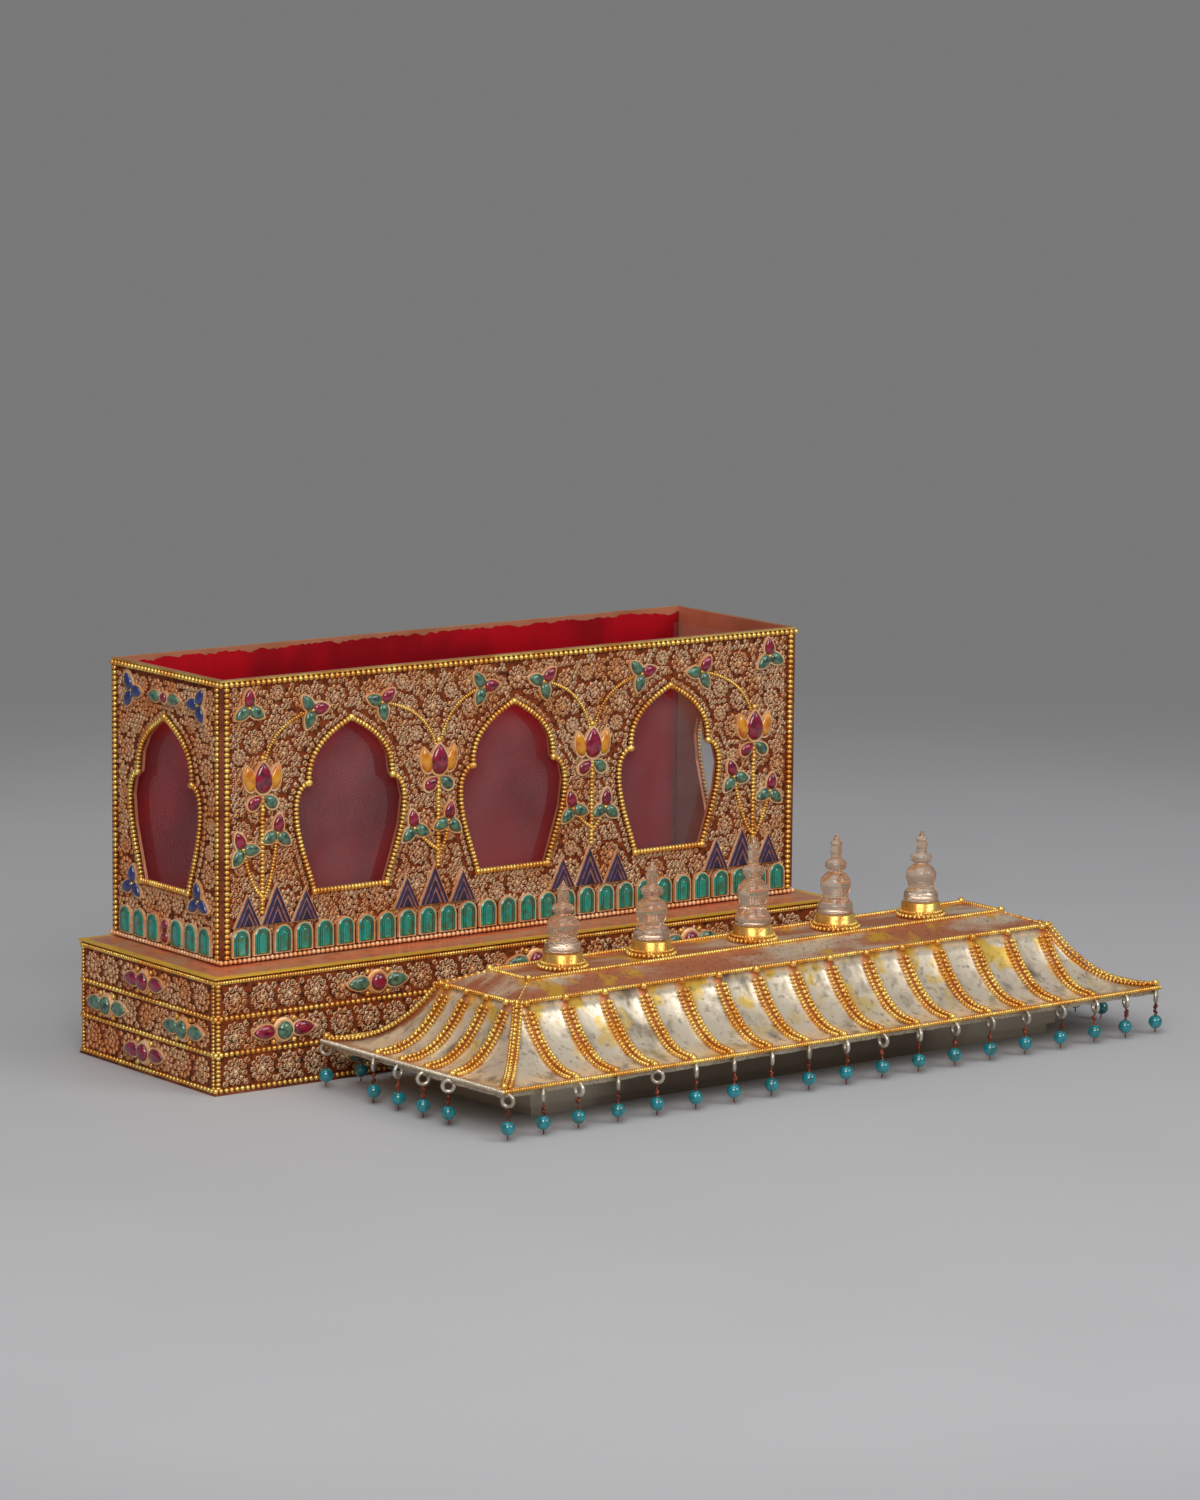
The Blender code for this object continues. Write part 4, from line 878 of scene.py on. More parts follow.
def window_half(v):
    """Half the width of a window at a height, or a negative number above and below it."""
    if not SILL_Z <= v <= APEX_Z:
        return -1.0
    if v <= WIDE_Z:
        t = (v - SILL_Z) / (WIDE_Z - SILL_Z)
        return SILL + (WIDE - SILL) * math.sin(math.pi / 2 * t**SWELL_POWER)
    if v <= CUSP_Z:
        t = (v - WIDE_Z) / (CUSP_Z - WIDE_Z)
        return CUSP + (WIDE - CUSP) * math.sqrt(1 - t * t)
    t = (v - CUSP_Z) / (APEX_Z - CUSP_Z)
    return CUSP * (1 - t**OGEE_POWER)


def window_line(centre):
    """The right side of a window from its foot up, then the left side down."""
    heights = [SILL_Z + (WIDE_Z - SILL_Z) * step / 12 for step in range(13)]
    heights += [WIDE_Z + (CUSP_Z - WIDE_Z) * math.sin(math.pi / 12 * step) for step in range(1, 7)]
    heights += [CUSP_Z + (APEX_Z - CUSP_Z) * step / 16 for step in range(1, 17)]
    right = [(centre + window_half(v), v) for v in heights]
    return right + [(2 * centre - u, v) for u, v in reversed(right[:-1])]


def never_blocked(u, v, reach):
    return False


def clear_of(centres, low):
    """A test of whether a spot on the case comes too near a window or the tiles."""

    def blocked(u, v, reach):
        room = reach + FRAME_ROOM + sizes().curl_radius * 0.3
        if v - reach < low:
            return True
        for centre in centres:
            half = max(window_half(v), window_half(v + room * 0.8), window_half(v - room * 0.8))
            if half > 0 and abs(u - centre) < half + room:
                return True
        return False

    return blocked


def peak_top(u):
    """The height of the lapis peaks at a place along the front."""
    top = 0.0
    for centre in PEAK_PLACES:
        for side, width, height in PEAK_SIZES:
            top = max(top, height * (1 - abs(u - centre - side * PEAK_PITCH) / (width / 2)))
    return PEAK_FOOT + top


class ALTARBOX_OT_plinth(bpy.types.Operator):
    """Make the plinth: its block, filigree bands, beaded rows and stone triplets"""

    bl_idname = "altar_box.plinth"
    bl_label = "Plinth"

    def execute(self, context):
        luck = random.Random(11)
        work = Work()
        work.stamp(plain_block(PLINTH_LENGTH, PLINTH_DEPTH, 0.0004, PLINTH_TOP, "ground_copper"))
        foot = plain_block(PLINTH_LENGTH + 0.0018, PLINTH_DEPTH + 0.0018, 0, 0.0009, "drop_copper", 0.0002)
        work.stamp(foot)
        work.add("plinth_block", "copper", "plinth")
        for face, place in PLINTH_FACES.items():
            half = (PLINTH_LENGTH if face in ("front", "back") else PLINTH_DEPTH) / 2
            # The ends and back get the darker copper: painted shade
            material = "filigree_copper" if face == "front" else "shaded_end_copper"
            work = Work(place)
            for band in range(3):
                low = LOWEST_ROW + band * BAND_PITCH + 0.0012
                area = (-half + 0.0032, half - 0.0032, low, low + BAND_PITCH - 0.0024)
                coarse = 1.7 if face == "back" else 1.13
                fill_filigree(lambda u: work, area, never_blocked, luck, material, face != "back", coarse)
            work.add(f"plinth_filigree_{face}", "copper")
        self.rows()
        for face, band, band_name, places, middle, outer in CLUSTERS:
            for number, place in enumerate(places, 1):
                work = Work(PLINTH_FACES[face])
                triplet(work, place, LOWEST_ROW + (band + 0.5) * BAND_PITCH, TRIPLET, middle, outer)
                name = f"plinth_stones_{face}_{band_name}_{number}"
                work.add(f"{name}_set", "ruby", name)
        dress("plinth_deck", "deck_copper")
        return {"FINISHED"}

    def rows(self):
        """The beaded rows round the plinth and up its corners."""
        width = sizes().row_bead
        work = Work()
        coarse = bead(width * 0.96, width, "gold")
        fine = bead(0.0016, width * 0.9, "gold")
        for row in range(3):
            around = rectangle(PLINTH_LENGTH, PLINTH_DEPTH, LOWEST_ROW + row * BAND_PITCH)
            work.row(coarse, around, width, closed=True)
        around = rectangle(PLINTH_LENGTH, PLINTH_DEPTH, HIGHEST_ROW)
        work.row(fine, around, 0.0015, closed=True)
        for face, work.place in PLINTH_FACES.items():
            if face in ("front", "back"):
                place, post, pitch = PLINTH_LENGTH / 2 - 0.0014, bead(0.0020, 0.0030, "gold"), 0.0019
            else:
                place, post, pitch = PLINTH_DEPTH / 2 - 0.0016, bead(0.0018, 0.0024, "gold"), 0.0017
            for side in (-1, 1):
                for band in range(3):
                    low = LOWEST_ROW + band * BAND_PITCH + 0.0014
                    high = low + BAND_PITCH - 0.0028
                    work.row(post, [(side * place, low, 0), (side * place, high, 0)], pitch)
        work.add("plinth_beads", "gilt")


class ALTARBOX_OT_case(bpy.types.Operator):
    """Make the case's filigree, beaded edges, window frames, panes and velvet"""

    bl_idname = "altar_box.case"
    bl_label = "Case"

    def execute(self, context):
        luck = random.Random(23)
        half = CASE_LENGTH / 2 - CORNER_ROOM
        low = 0.0118
        top = CASE_RIM - 0.0034
        sides = (Work(CASE_FACES["front"]), Work(CASE_FACES["front"]))
        area = (-half, half, low, top)
        fill_filigree(lambda u: sides[u > 0], area, clear_of(FRONT_WINDOWS, low), luck, "filigree_copper")
        self.round_windows(lambda u: sides[u > 0], FRONT_WINDOWS, luck, "filigree_copper")
        for name, work in zip(("left", "right"), sides):
            work.add(f"case_filigree_front_{name}", "copper")
        half = CASE_DEPTH / 2 - CORNER_ROOM
        for face in ("left", "right"):
            work = Work(CASE_FACES[face])
            area = (-half, half, 0.0030, top)
            # The end faces get the darker copper: painted shade
            fill_filigree(lambda u: work, area, clear_of((0.0,), 0.0030), luck, "shaded_end_copper")
            self.round_windows(lambda u: work, (0.0,), luck, "shaded_end_copper")
            work.add(f"case_filigree_{face}", "copper")
        self.edges()
        self.frames()
        self.lining()
        for name in ("front_glass", "left_glass", "right_glass"):
            dress(name, "glass")
        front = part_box("front_glass")[1].y + GAP - (CASE_Y - CASE_DEPTH / 2)
        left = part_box("left_glass")[1].x + GAP - (CASE_X - CASE_LENGTH / 2)
        films = [(f"dust_front_{number}", "front", centre, -0.0046, front)
                 for number, centre in enumerate(FRONT_WINDOWS, 1)]
        # Films of dust and painted reflection, shifted aside to leave a clear band at one edge, where the wall's
        # thickness keeps the room's reflection off the pane
        for name, face, centre, aside, depth in films + [("dust_and_reflection_left", "left", 0.0, 0.0050, left)]:
            film = [(u + aside, v - 0.0016) for u, v in window_line(centre)]
            work = Work(CASE_FACES[face])
            work.stamp(lofted([raised(film, -depth), raised(film, 0.0001 - depth)], ["dust"]))
            work.add(name, "glass")
        dress("case", "bare_copper")
        return {"FINISHED"}

    def round_windows(self, pick, centres, luck, material):
        """A row of scrolls that follows each window frame."""
        scroll = curl(material)
        for centre in centres:
            line = [(u, v, 0) for u, v in window_line(centre)]
            for place, heading in along(line, 0.0027, closed=True):
                u = place.x + heading.y * FRAME_ROOM
                v = place.y - heading.x * FRAME_ROOM
                pick(u).stamp(scroll, at(u, v, 0, luck.uniform(0, 360)))

    def edges(self):
        """Rows of beads round the rim and the foot, corner posts and the plain strip on the rim."""
        width = sizes().row_bead
        work = Work(Matrix.Translation((CASE_X, CASE_Y, CASE_BASE)))
        proud = 0.0010
        around = rectangle(CASE_LENGTH + 2 * proud, CASE_DEPTH + 2 * proud, CASE_RIM - 0.0022)
        work.row(bead(width, width, "gold"), around, width, closed=True)
        around = rectangle(CASE_LENGTH + 2 * proud, CASE_DEPTH + 2 * proud, 0.0013)
        work.row(bead(width * 0.9, width * 0.9, "copper_gold"), around, width * 0.88, closed=True)
        for face, work.place in CASE_FACES.items():
            half = (CASE_LENGTH if face in ("front", "back") else CASE_DEPTH) / 2
            wide = half + 0.0008
            low = CASE_RIM - 0.0009
            strip = [(-wide, low), (wide, low), (wide, CASE_RIM), (-wide, CASE_RIM)]
            work.stamp(lofted([raised(strip, 0.0001), raised(strip, 0.0009)], ["gold"]))
            for end in (-1, 1):
                line = [(end * (half - 0.0022), v, 0.0008) for v in (0.0036, CASE_RIM - 0.0044)]
                work.row(bead(0.0026, 0.0034, "gold"), line, 0.0025)
                low, high = 0.0030, CASE_RIM - 0.0036
                post = [(-0.0010, low), (0.0010, low), (0.0010, high), (-0.0010, high)]
                narrow = [(u * 0.5, v, 0.0010) for u, v in post]
                work.stamp(lofted([raised(post, 0.0001), narrow], ["drop_copper"]), at(end * (half - 0.0002), 0))
        work.add("case_edge_beads", "gilt", "case_edging")

    def frames(self):
        """Ring beads round each window, with balls at its points."""
        width = sizes().frame_bead
        windows = [(f"front_{number}", "front", centre) for number, centre in enumerate(FRONT_WINDOWS, 1)]
        for name, face, centre in windows + [("left", "left", 0.0), ("right", "right", 0.0)]:
            work = Work(CASE_FACES[face])
            ring = bead(0.0019, width, "gold")
            line = [(u, v, 0.0013) for u, v in window_line(centre)]
            middle = len(line) // 2
            work.row(ring, line[: middle + 1], sizes().frame_pitch)
            work.row(ring, line[middle:], sizes().frame_pitch)
            work.row(ring, [line[-1], line[0]], sizes().frame_pitch)
            for u, v in ((0, APEX_Z), (-CUSP, CUSP_Z), (CUSP, CUSP_Z), (-SILL, SILL_Z), (SILL, SILL_Z)):
                work.stamp(ball(), at(centre + u, v, 0.0016))
            work.add(f"window_beads_{name}", "gilt", f"window_frame_{name}")

    def lining(self):
        """The velvet on the inside of the back wall, with a ragged upper edge."""
        luck = random.Random(5)
        low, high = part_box("velvet_lining")
        width = high.x - low.x
        height = high.z - low.z + 0.0020
        bm = bmesh.new()
        bmesh.ops.create_grid(bm, x_segments=VELVET_COLUMNS, y_segments=10, size=0.5)
        drift = 0.0
        ragged = []
        for _ in range(VELVET_COLUMNS + 1):
            drift = drift * 0.82 + luck.uniform(-0.0009, 0.0009)
            ragged.append(0.0003 + abs(drift))
        for vertex in bm.verts:
            column = round((vertex.co.x + 0.5) * VELVET_COLUMNS)
            share = vertex.co.y + 0.5
            x = (low.x + high.x) / 2 + vertex.co.x * width
            z = low.z + share * height - (ragged[column] if share > 0.99 else 0)
            vertex.co = (x, high.y - 0.0004, z)
        piece = add_piece("velvet_sheet", shape_of(bm, ["velvet"]), "velvet", "velvet_lining")
        thick = piece.modifiers.new("thickness", "SOLIDIFY")
        thick.thickness = sizes().velvet
        thick.offset = 0.0


class ALTARBOX_OT_stones(bpy.types.Operator):
    """Make the case's turquoise tiles, lapis peaks, flower sprays and trefoils"""

    bl_idname = "altar_box.stones"
    bl_label = "Stones of the case"

    def execute(self, context):
        half = (FRONT_TILES - 1) / 2
        self.tiles("front", [(number - half) * TILE_PITCH for number in range(FRONT_TILES)])
        for face in ("left", "right"):
            self.tiles(face, [side * place for side in (-1, 1) for place in SIDE_TILES])
        self.peaks()
        for number, (lotus, (upper, lower)) in enumerate(zip(LOTUSES, SPRAYS), 1):
            work = Work(CASE_FACES["front"])
            self.spray(work, lotus, upper, lower)
            name = f"flower_spray_{number}"
            work.add(f"{name}_jewels", "gilt", name)
        for name, u, v, turn in CORNERS:
            work = Work(CASE_FACES["front"])
            trefoil(work, u, v, turn)
            work.add(f"corner_stones_{name}", "green_stone", f"corner_trefoil_{name}")
        self.ends()
        return {"FINISHED"}

    def tiles(self, face, places):
        """Carved tiles in copper bezels on one setting strip."""

        def arch(half, foot, top, lift):
            points = [(half, foot, lift)]
            for step in range(9):
                turn = math.pi * step / 8
                points.append((half * math.cos(turn), top - half + half * math.sin(turn), lift))
            return points + [(-half, foot, lift)]

        half = TILE_WIDTH / 2
        foot = TILE_FOOT
        top = TILE_FOOT + TILE_HEIGHT
        wall = sizes().bezel
        bezel = [arch(half, foot, top, 0), arch(half, foot, top, 0.0017)]
        bezel += [arch(half - wall, foot + wall, top - wall, 0.0017)]
        bezel += [arch(half - wall * 1.05, foot + wall, top - wall, 0.0010)]
        body = [arch(half - inset, foot + 0.0006 + drop, top - inset, lift) for inset, drop, lift, _ in TILE_CUTS]
        tile = Work()
        tile.stamp(lofted(bezel, ["copper_gold"]))
        tile.stamp(lofted(body, ["turquoise", "tile_line"], numbers=[cut[3] for cut in TILE_CUTS]))
        tile.stamp(bead(0.0028, 0.0016, "tile_spot", 2), at(0, foot + 0.0013, 0.0022))
        tile = tile.mesh("tile")
        luck = random.Random(len(places))
        work = Work(CASE_FACES[face])
        for place in places:
            work.stamp(tile, at(place, 0, GAP) @ Matrix.Diagonal((1, 1, luck.uniform(0.92, 1.0), 1)))
        if face != "front":
            gem = set_stone(oval(0.0054, 0.0056), 0.0026, "ruby")
            for v in (0.0031, 0.0087):
                work.stamp(gem, at(0, TILE_FOOT + v, GAP))
        work.add(f"turquoise_tiles_{face}", "turquoise", f"turquoise_row_{face}")

    def peaks(self):
        """Triangles cut in chevron steps on copper backs."""

        def triangle(half, height, share, lift, rise):
            return [(-half * share, rise, lift), (half * share, rise, lift), (0, rise + height * share, lift)]

        for group, centre in enumerate(PEAK_PLACES, 1):
            work = Work(CASE_FACES["front"])
            for side, width, height in PEAK_SIZES:
                half = width / 2
                back = [triangle(half, height, 1.0, lift, 0) for lift in (0, 0.0012)]
                body = [triangle(half, height, share, lift, 0.0003 + (0.94 - share) * 0.0012)
                        for share, lift, _ in PEAK_CUTS]
                place = at(centre + side * PEAK_PITCH, PEAK_FOOT, GAP + abs(side) * GAP)
                work.stamp(lofted(back, ["copper_gold"]), place)
                finishes = [cut[2] for cut in PEAK_CUTS]
                work.stamp(lofted(body, ["lapis", "lapis_line"], numbers=finishes), place)
            work.add(f"lapis_peaks_{group}_carved", "lapis", f"lapis_peaks_{group}")

    def spray(self, work, lotus, upper, lower):
        """A lotus on a beaded stem, trefoils on side stems and on branches above."""
        foot = max(peak_top(lotus - 0.0009), peak_top(lotus + 0.0009)) + 0.0018
        stem = bead(0.0020, 0.0029, "gold")
        fine = bead(0.00125, sizes().branch_bead, "gold")
        thick = bead(0.0017, 0.0023, "gold")
        work.row(stem, [(lotus, LOTUS_Z - 0.0036, 0.0012), (lotus, foot, 0.0012)], 0.0019)
        for along_front, high, turn in lower:
            side = math.copysign(1, along_front)
            joint = (lotus, foot + 0.0050 * (1 + (1 - side) / 4), 0.0011)
            bend = (lotus + side * 0.0050, foot + 0.0100, 0.0011)
            work.row(thick, swept((lotus + along_front, high, 0.0011), bend, joint), 0.0015)
            trefoil(work, lotus + along_front, high, turn)
        for along_front, high, turn in upper:
            bend = (lotus + 0.1 * along_front, high - GEM_REACH, 0.0011)
            branch = swept((lotus, LOTUS_Z, 0.0011), bend, (lotus + along_front, high, 0.0011), 20)
            work.row(fine, branch, 0.0013)
            trefoil(work, lotus + along_front, high, turn)
        work.stamp(set_stone(outline(0.0146, 0.0098), 0.0036, "ruby"), at(lotus, LOTUS_Z, 0.0006, 90))
        petal = set_stone(outline(0.0122, 0.0064), 0.0030, "amber")
        for side, name in ((-1, "ruby"), (1, "green_stone")):
            work.stamp(petal, at(lotus + side * 0.0072, LOTUS_Z, GAP, 90 - side * 14))
            sepal = set_stone(outline(*SMALL_DROP), GEM[2], name)
            work.stamp(sepal, at(lotus + side * 0.0042, LOTUS_Z - 0.0112, GAP, 90 + side * 55))
        work.stamp(ball(0.0026), at(lotus, LOTUS_Z - 0.0150, 0.0016))
        work.stamp(ball(0.0026), at(lotus, LOTUS_Z + 0.0092, 0.0014))

    def ends(self):
        """Trefoils and the row of three stones on the case's ends."""
        for face in ("left", "right"):
            for height, v, lean in END_STONES:
                for name, side in (("a", -1), ("b", 1)):
                    work = Work(CASE_FACES[face])
                    trefoil(work, side * END_STONE_OUT, v, 90 - side * lean, ("blue_lapis",) * 3)
                    node = f"lapis_trefoil_{face}_{height}_{name}"
                    work.add(f"{node}_set", "lapis", node)
            work = Work(CASE_FACES[face])
            size = (GEM[1], GEM[2], GEM[0], GEM[1], GEM[2], 0.0084, False)
            triplet(work, 0, END_STONES[0][1], size, "ruby", "green_stone")
            work.add(f"stones_{face}_set", "ruby", f"stone_row_{face}")


# Lid


def sweep(s):
    """Height of the roof at share s of the way from the deck edge to the eave."""
    return DECK_EDGE[2] - (DECK_EDGE[2] - EAVE[2]) * (1 - (1 - s) ** SWEEP_POWER)


def sweep_lean(s, run):
    fall = (DECK_EDGE[2] - EAVE[2]) * SWEEP_POWER * (1 - s) ** (SWEEP_POWER - 1)
    length = math.hypot(fall, run)
    return fall / length, run / length


def rib_lines(count, top_pitch, foot_pitch):
    """Where each rib stands along the deck edge and along the eave."""
    middle = (count - 1) / 2
    return [((number - middle) * top_pitch, (number - middle) * foot_pitch) for number in range(count)]


def slopes():
    """Each slope: outward direction, distances out and half lengths at deck and foot, ribs, pitches."""
    long_side = (DECK_EDGE[0] / 2, SHEET_FOOT[0] / 2)
    short_side = (DECK_EDGE[1] / 2, SHEET_FOOT[1] / 2)
    even = (RIB_PITCH, RIB_PITCH)
    fanned = (END_RIB_TOP, END_RIB_FOOT)
    for sign in (-1, 1):
        yield (0, sign, 0), short_side, long_side, rib_lines(RIB_COUNT, *even), even
        yield (sign, 0, 0), long_side, short_side, rib_lines(END_RIB_COUNT, *fanned), fanned


def roof_point(outward, outs, place, s, lift):
    """A point on a slope, lifted off it by lift."""
    out = Vector(outward)
    run = outs[1] - outs[0]
    lean_out, lean_up = sweep_lean(s, run)
    point = out * (outs[0] + run * s) + UP.cross(out) * place + UP * sweep(s)
    return point + (out * lean_out + UP * lean_up) * lift


def drop_places():
    """Places of the drops: at the rib feet, near the corners and one between."""
    x = EAVE[0] / 2 - EAVE_WIRE
    y = EAVE[1] / 2 - EAVE_WIRE
    corner = x - 0.0025
    places = [(number - 7) * RIB_PITCH for number in range(RIB_COUNT)]
    between = (7 * RIB_PITCH + corner) / 2
    places += [-corner, -between, between, corner]
    ends = [(number - 1.5) * END_RIB_FOOT for number in range(END_RIB_COUNT)]
    found = [(u, side * y, 90.0) for side in (-1, 1) for u in places]
    return found + [(side * x, v, 0.0) for side in (-1, 1) for v in ends]


class ALTARBOX_OT_lid(bpy.types.Operator):
    """Make the lid: its swept roof, beaded ribs, top, eave wire and drops"""

    bl_idname = "altar_box.lid"
    bl_label = "Lid"

    def execute(self, context):
        self.roof()
        self.ribs()
        self.top()
        self.eave()
        dress("lid_collar", "collar_silver")
        return {"FINISHED"}

    def roof(self):
        """The swept sheet, ridged under each rib and slightly slack between."""
        bm = bmesh.new()
        spread = bm.loops.layers.uv.new("roof")
        rows = 14
        for outward, outs, halves, ribs, pitches in slopes():
            hips = [(-halves[0], -halves[1]), halves]
            first = [place - RIDGE[-1][0] for place in ribs[0]]
            beside = [[near - (half + near) * share for near, half in zip(first, halves)] for share in (0.7, 0.35)]
            columns = [(*hips[0], 0.0008)] + [(top, foot, 0.0) for top, foot in beside]
            for number, (top, foot) in enumerate(ribs, 1):
                columns += [(top + step, foot + step, lift) for step, lift in RIDGE]
                for share in (0.3, 0.5, 0.7) if number < len(ribs) else ():
                    sag = -0.0007 * math.sin(math.pi * share)
                    columns.append((top + pitches[0] * share, foot + pitches[1] * share, sag))
            columns += [(-top, -foot, 0.0) for top, foot in reversed(beside)] + [(*halves, 0.0008)]
            made = bmesh.ops.create_grid(bm, x_segments=len(columns) - 1, y_segments=rows, size=1.0)
            seen = {}
            for vertex in made["verts"]:
                column = columns[round((vertex.co.x + 1) / 2 * (len(columns) - 1))]
                s = round((1 - vertex.co.y) / 2 * rows) / rows
                top, foot, lift = column
                ease = math.sin(math.pi * s) if lift < 0 else 1.0
                place = top + (foot - top) * s
                vertex.co = roof_point(outward, outs, place, s, lift * ease)
                nearest = min(abs(place - (a + (b - a) * s)) for a, b in hips + ribs)
                seen[vertex] = (min(1.0, nearest / 0.0067), s)
            for face in {face for vertex in made["verts"] for face in vertex.link_faces}:
                for corner in face.loops:
                    corner[spread].uv = seen[corner.vert]
        bmesh.ops.remove_doubles(bm, verts=bm.verts, dist=0.00002)
        mesh = shape_of(bm, ["roof_silver"])
        mesh.transform(LID_PLACE)
        piece = add_piece("roof_sheet", mesh, "silver", "lid_roof")
        thick = piece.modifiers.new("thickness", "SOLIDIFY")
        thick.thickness = ROOF_THICKNESS
        thick.offset = -1.0

    def ribs(self):
        """Three rows of beads down each rib and hip, with a ball at each end."""
        work = Work(LID_PLACE)
        width = sizes().rib_bead
        coarse = bead(width * 0.86, width, "gold")
        fine = bead(0.0018, 0.0023, "gold")
        side_row = (fine, 0.0018, 0.0010)
        rows = ((-0.0026, *side_row), (0.0, coarse, width * 0.88, 0.0020), (0.0026, *side_row))
        for outward, outs, halves, ribs, _ in slopes():
            for top, foot in ribs:
                for aside, shape, pitch, lift in rows:
                    line = [roof_point(outward, outs, top + (foot - top) * k / 16 + aside, k / 16, lift)
                            for k in range(1, 16)]
                    work.row(shape, line, pitch)
                work.stamp(ball(), Matrix.Translation(roof_point(outward, outs, foot, 0.985, 0.0012)))
                work.stamp(ball(), Matrix.Translation(roof_point(outward, outs, top, 0.0, 0.0016)))
            hip = [roof_point(outward, outs, halves[0] + (halves[1] - halves[0]) * k / 16, k / 16, 0.0)
                   + UP * RIB_LIFT for k in range(17)]
            work.row(coarse, hip, width * 0.88)
            for side in (-1, 1):
                aside = Vector(outward).cross(UP) * -side * 0.0021 * 1.3
                line = [point + aside - Vector(outward) * 0.0006 - UP * 0.0004 for point in hip]
                work.row(fine, line[:-1], 0.0018)
            work.stamp(ball(), Matrix.Translation(hip[-1] + UP * 0.0004))
        work.add("roof_ribs", "gilt")

    def top(self):
        """The sloping strip, the platform, its twisted wires and the five beaded seats."""
        work = Work(LID_PLACE)
        foot = DECK_EDGE[2] + GAP + 0.0004
        platform = rectangle(*PLATFORM)
        rim = rectangle(DECK_EDGE[0] - 0.001, DECK_EDGE[1] - 0.001, foot)
        work.stamp(lofted([rim, platform], ["strip_silver"]))
        wire = bead(0.0013, 0.0025, "gold")
        edge = rectangle(DECK_EDGE[0], DECK_EDGE[1], DECK_EDGE[2] + 0.0010)
        for line in (rectangle(PLATFORM[0], PLATFORM[1], PLATFORM[2] + 0.0004), edge):
            work.row(wire, line, 0.00145, closed=True, twist=0.3)
        for corner in rectangle(PLATFORM[0], PLATFORM[1], PLATFORM[2] + 0.0010) + edge:
            work.stamp(ball(), Matrix.Translation(corner))
        for low, high in zip(edge, platform):
            work.row(bead(0.0040, 0.0012, "gold"), [low, high], 0.0030)
        for place, _ in STUPAS:
            middle = Vector((place, 0, PLATFORM[2]))
            for radius, width, lift, pitch in SEAT_RINGS:
                line = [middle + Vector((x, y, lift)) for x, y in oval(2 * radius, 2 * radius, 40)]
                work.row(bead(pitch * 0.95, width, "gold"), line, pitch, closed=True)
            levels = [[(place + x, y, PLATFORM[2] + height) for x, y in oval(2 * radius, 2 * radius, 40)]
                      for radius, height in SEAT_LEVELS]
            work.stamp(lofted(levels, ["gold"], True))
        work.add("lid_top_beads", "gilt", "lid_top")

    def eave(self):
        """The twisted wire round the eave, the silver strip under it and the hanging drops."""
        luck = random.Random(37)
        work = Work(LID_PLACE)
        x = EAVE[0] - 2 * EAVE_WIRE
        y = EAVE[1] - 2 * EAVE_WIRE
        corners = rectangle(x, y, EAVE[2])
        for number, material in enumerate(("gold", "gold", "gold", "plain_silver")):
            line = [corners[number], corners[(number + 1) % 4]]
            work.row(bead(0.00125, 2 * EAVE_WIRE, material), line, 0.0013, twist=0.35)
        strip = [point for point, _ in along(rectangle(x - 0.0008, y - 0.0008, EAVE[2] - 0.0004), 0.004, True)]
        bm = bmesh.new()
        bmesh.ops.create_circle(bm, segments=len(strip), radius=1.0)
        for vertex, point in zip(bm.verts, strip):
            vertex.co = point
        for item in bmesh.ops.extrude_edge_only(bm, edges=bm.edges[:])["geom"]:
            if isinstance(item, bmesh.types.BMVert):
                item.co.z = EAVE[2] - 0.0026 - luck.uniform(0, 0.0005)
                item.co.xy *= 0.9985
        bmesh.ops.solidify(bm, geom=bm.faces[:], thickness=0.0005)
        work.stamp(shape_of(bm, ["plain_silver"], False))
        for u, v, turn in drop_places():
            self.drop(work, at(u, v, 0, turn), luck)
        work.add("eave_and_drops", "turquoise", "lid_eave")

    def drop(self, work, place, luck):
        """A ring, a wound wire, a turquoise bead and the wire's tail below it."""

        def stand(x, y, z):
            return place @ Matrix.Translation((x, y, z))

        def wire(length, width, points, pitch):
            work.row(bead(length, width, "drop_copper"), [place @ Vector(point) for point in points], pitch)

        half = sizes().drop_bead / 2
        lean = luck.uniform(-0.0005, 0.0005)
        swing = Matrix.Rotation(luck.uniform(-0.9, 0.9), 4, "Z")
        ring = hoop(0.0026, 0.0010, "ring_silver")
        work.stamp(ring, stand(0, 0, RING_Z) @ swing @ Matrix.Rotation(math.pi / 2, 4, "X"))
        hanging = [(0, 0, 0.0160), (lean, lean, 0.0125), (0, 0, DROP_BEAD_Z + half - 0.0004)]
        wire(0.0016, 0.0011, hanging, 0.0012)
        for _ in range(2):
            spot = stand(lean, lean, luck.uniform(0.0105, 0.0140))
            pin = hoop(0.0010, 0.0004, "drop_copper", 8)
            work.stamp(pin, spot @ Matrix.Rotation(luck.uniform(0.4, 2.6), 4, "X") @ swing)
        work.stamp(bead(2 * half, 2 * half, "drop_turquoise", 3), stand(0, 0, DROP_BEAD_Z))
        wire(0.0014, 0.0008, [(0, 0, DROP_BEAD_Z - half + 0.0003), (lean, 0, TAIL_Z)], 0.0010)
        twist = bead(0.0008, 0.0018, "drop_copper")
        work.stamp(twist, stand(0, 0, DROP_BEAD_Z + half + 0.0001) @ Matrix.Rotation(math.pi / 2, 4, "Y"))


class ALTARBOX_OT_stupas(bpy.types.Operator):
    """Make the five turned rock crystal stupas"""

    bl_idname = "altar_box.stupas"
    bl_label = "Crystal stupas"

    def execute(self, context):
        for number, (place, height) in enumerate(STUPAS, 1):
            levels = []
            for radius, high in STUPA_PROFILE:
                ring = oval(2 * radius * STUPA_GIRTH, 2 * radius * STUPA_GIRTH, 32)
                levels.append([(x + place, y, STUPA_SEAT + high * height) for x, y in ring])
            mesh = lofted(levels, ["crystal"], True)
            mesh.transform(LID_PLACE)
            add_piece(f"stupa_{number}", mesh, "crystal", f"crystal_stupa_{number}")
        return {"FINISHED"}


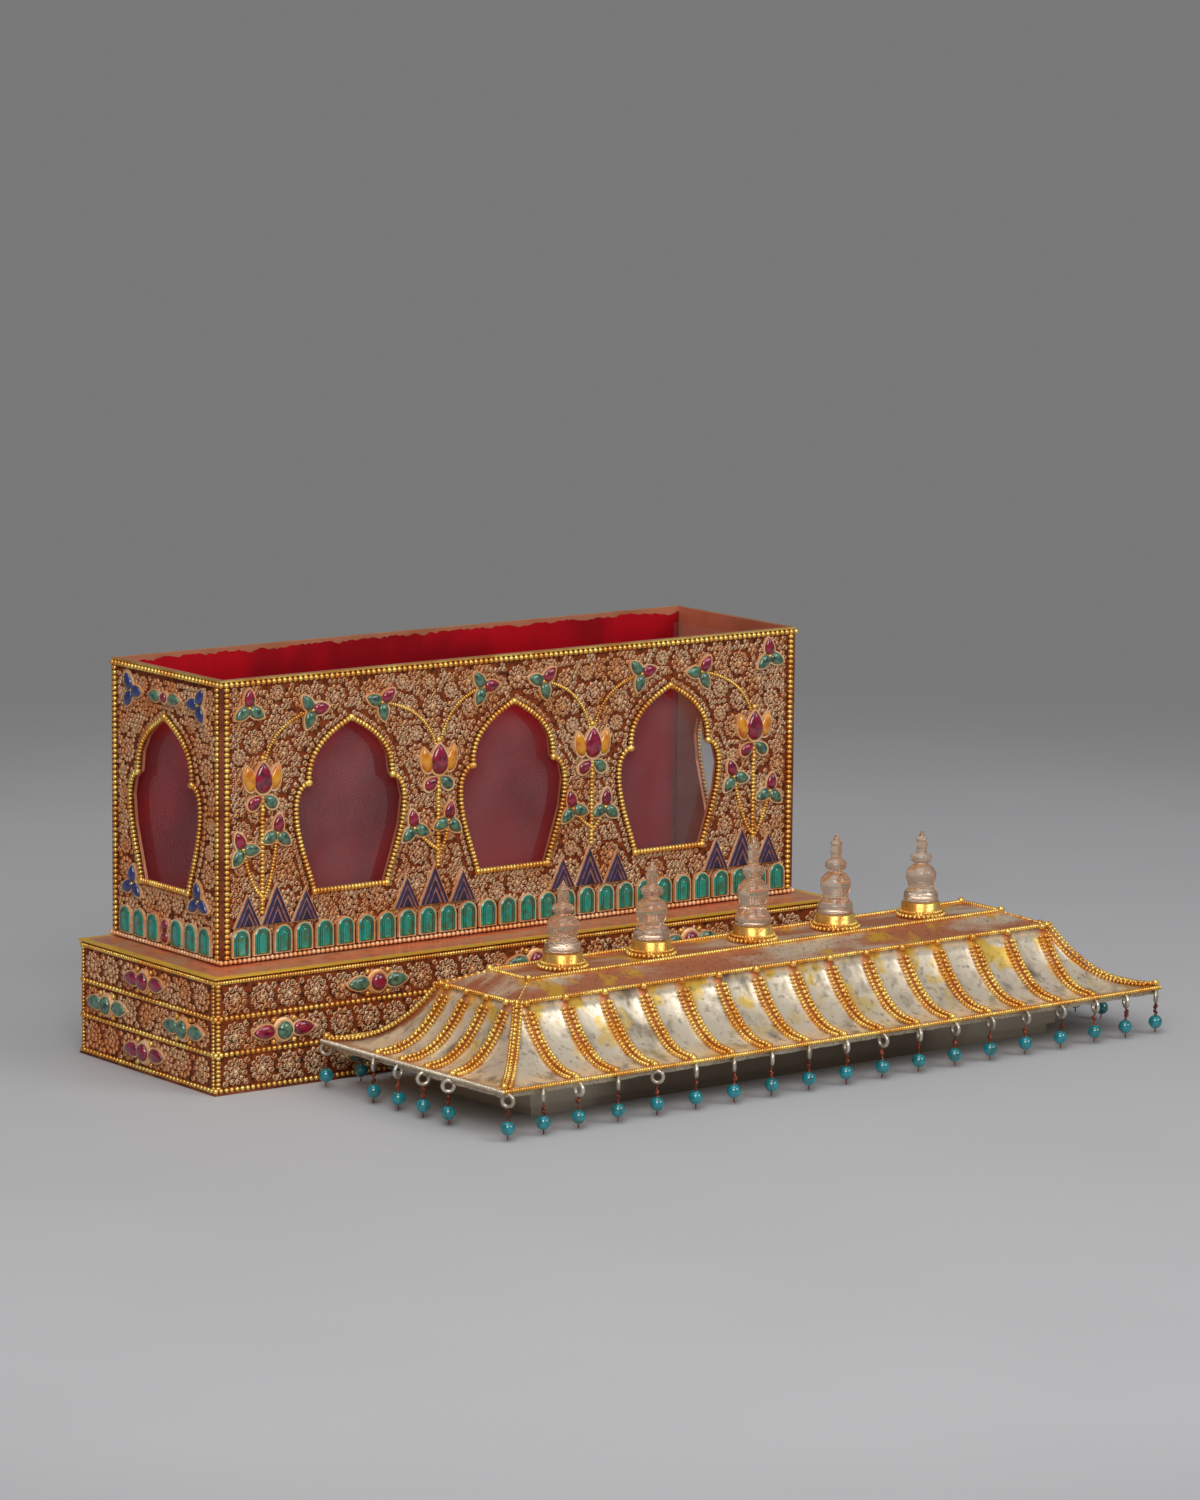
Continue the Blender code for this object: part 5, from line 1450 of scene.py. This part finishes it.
class ALTARBOX_OT_stage(bpy.types.Operator):
    """Make the floor, the lights and the camera"""

    bl_idname = "altar_box.stage"
    bl_label = "Stage"

    def execute(self, context):
        scene = context.scene
        bm = bmesh.new()
        bmesh.ops.create_circle(bm, cap_ends=True, segments=96, radius=FLOOR_RADIUS)
        floor = bpy.data.objects.new("floor", shape_of(bm, ["floor_grey"], False))
        floor.location = (0.05, -0.05, 0)
        scene.collection.objects.link(floor)
        world = bpy.data.worlds.new("grey_room")
        world.use_nodes = True
        backdrop = next(node for node in world.node_tree.nodes if node.type == "BACKGROUND")
        backdrop.inputs["Color"].default_value = (0.19, 0.19, 0.192, 1.0)
        scene.world = world
        for name, place, aim, size, power in LIGHTS:
            data = bpy.data.lights.new(name, "AREA")
            data.size = size
            data.energy = power
            light = bpy.data.objects.new(name, data)
            heading = (Vector(aim) - Vector(place)).to_track_quat("-Z", "Y").to_matrix().to_4x4()
            light.matrix_world = Matrix.Translation(place) @ heading
            scene.collection.objects.link(light)
        self.camera(scene)
        scene.view_settings.view_transform = "Standard"
        return {"FINISHED"}

    def camera(self, scene):
        """The camera where the photographer stood."""
        fall = math.cos(CAMERA_PITCH)
        forward = Vector((math.sin(CAMERA_YAW) * fall, math.cos(CAMERA_YAW) * fall, -math.sin(CAMERA_PITCH)))
        level = Vector((math.cos(CAMERA_YAW), -math.sin(CAMERA_YAW), 0))
        over = level.cross(forward)
        right = level * math.cos(CAMERA_ROLL) + over * math.sin(CAMERA_ROLL)
        up = over * math.cos(CAMERA_ROLL) - level * math.sin(CAMERA_ROLL)
        data = bpy.data.cameras.new("camera")
        data.lens = CAMERA_LENS
        data.sensor_width = 36.0
        camera = bpy.data.objects.new("camera", data)
        turn = Matrix((right, up, -forward)).transposed().to_4x4()
        camera.matrix_world = Matrix.Translation(CAMERA_PLACE) @ turn
        scene.collection.objects.link(camera)
        scene.camera = camera


OPERATORS = (ALTARBOX_OT_plinth, ALTARBOX_OT_case, ALTARBOX_OT_stones, ALTARBOX_OT_lid, ALTARBOX_OT_stupas,
             ALTARBOX_OT_stage)


class ALTARBOX_PT_panel(bpy.types.Panel):
    """Sizes, colours and makers of the altar box"""

    bl_idname = "ALTARBOX_PT_panel"
    bl_label = "Altar box"
    bl_space_type = "VIEW_3D"
    bl_region_type = "UI"
    bl_category = "Altar box"

    def draw(self, context):
        for group in (context.scene.altar_box_sizes, context.scene.altar_box_colours):
            for name in group.__annotations__:
                self.layout.prop(group, name)
        for operator in OPERATORS:
            self.layout.operator(operator.bl_idname)


CLASSES = (AltarBoxSizes, AltarBoxColours, *OPERATORS, ALTARBOX_PT_panel)


def register():
    for item in CLASSES:
        bpy.utils.register_class(item)
    bpy.types.Scene.altar_box_sizes = PointerProperty(type=AltarBoxSizes)
    bpy.types.Scene.altar_box_colours = PointerProperty(type=AltarBoxColours)


def unregister():
    del bpy.types.Scene.altar_box_sizes
    del bpy.types.Scene.altar_box_colours
    for item in reversed(CLASSES):
        bpy.utils.unregister_class(item)


def main():
    register()
    bpy.ops.altar_box.plinth()
    bpy.ops.altar_box.case()
    bpy.ops.altar_box.stones()
    bpy.ops.altar_box.lid()
    bpy.ops.altar_box.stupas()
    bpy.ops.altar_box.stage()


if __name__ == "__main__":
    main()
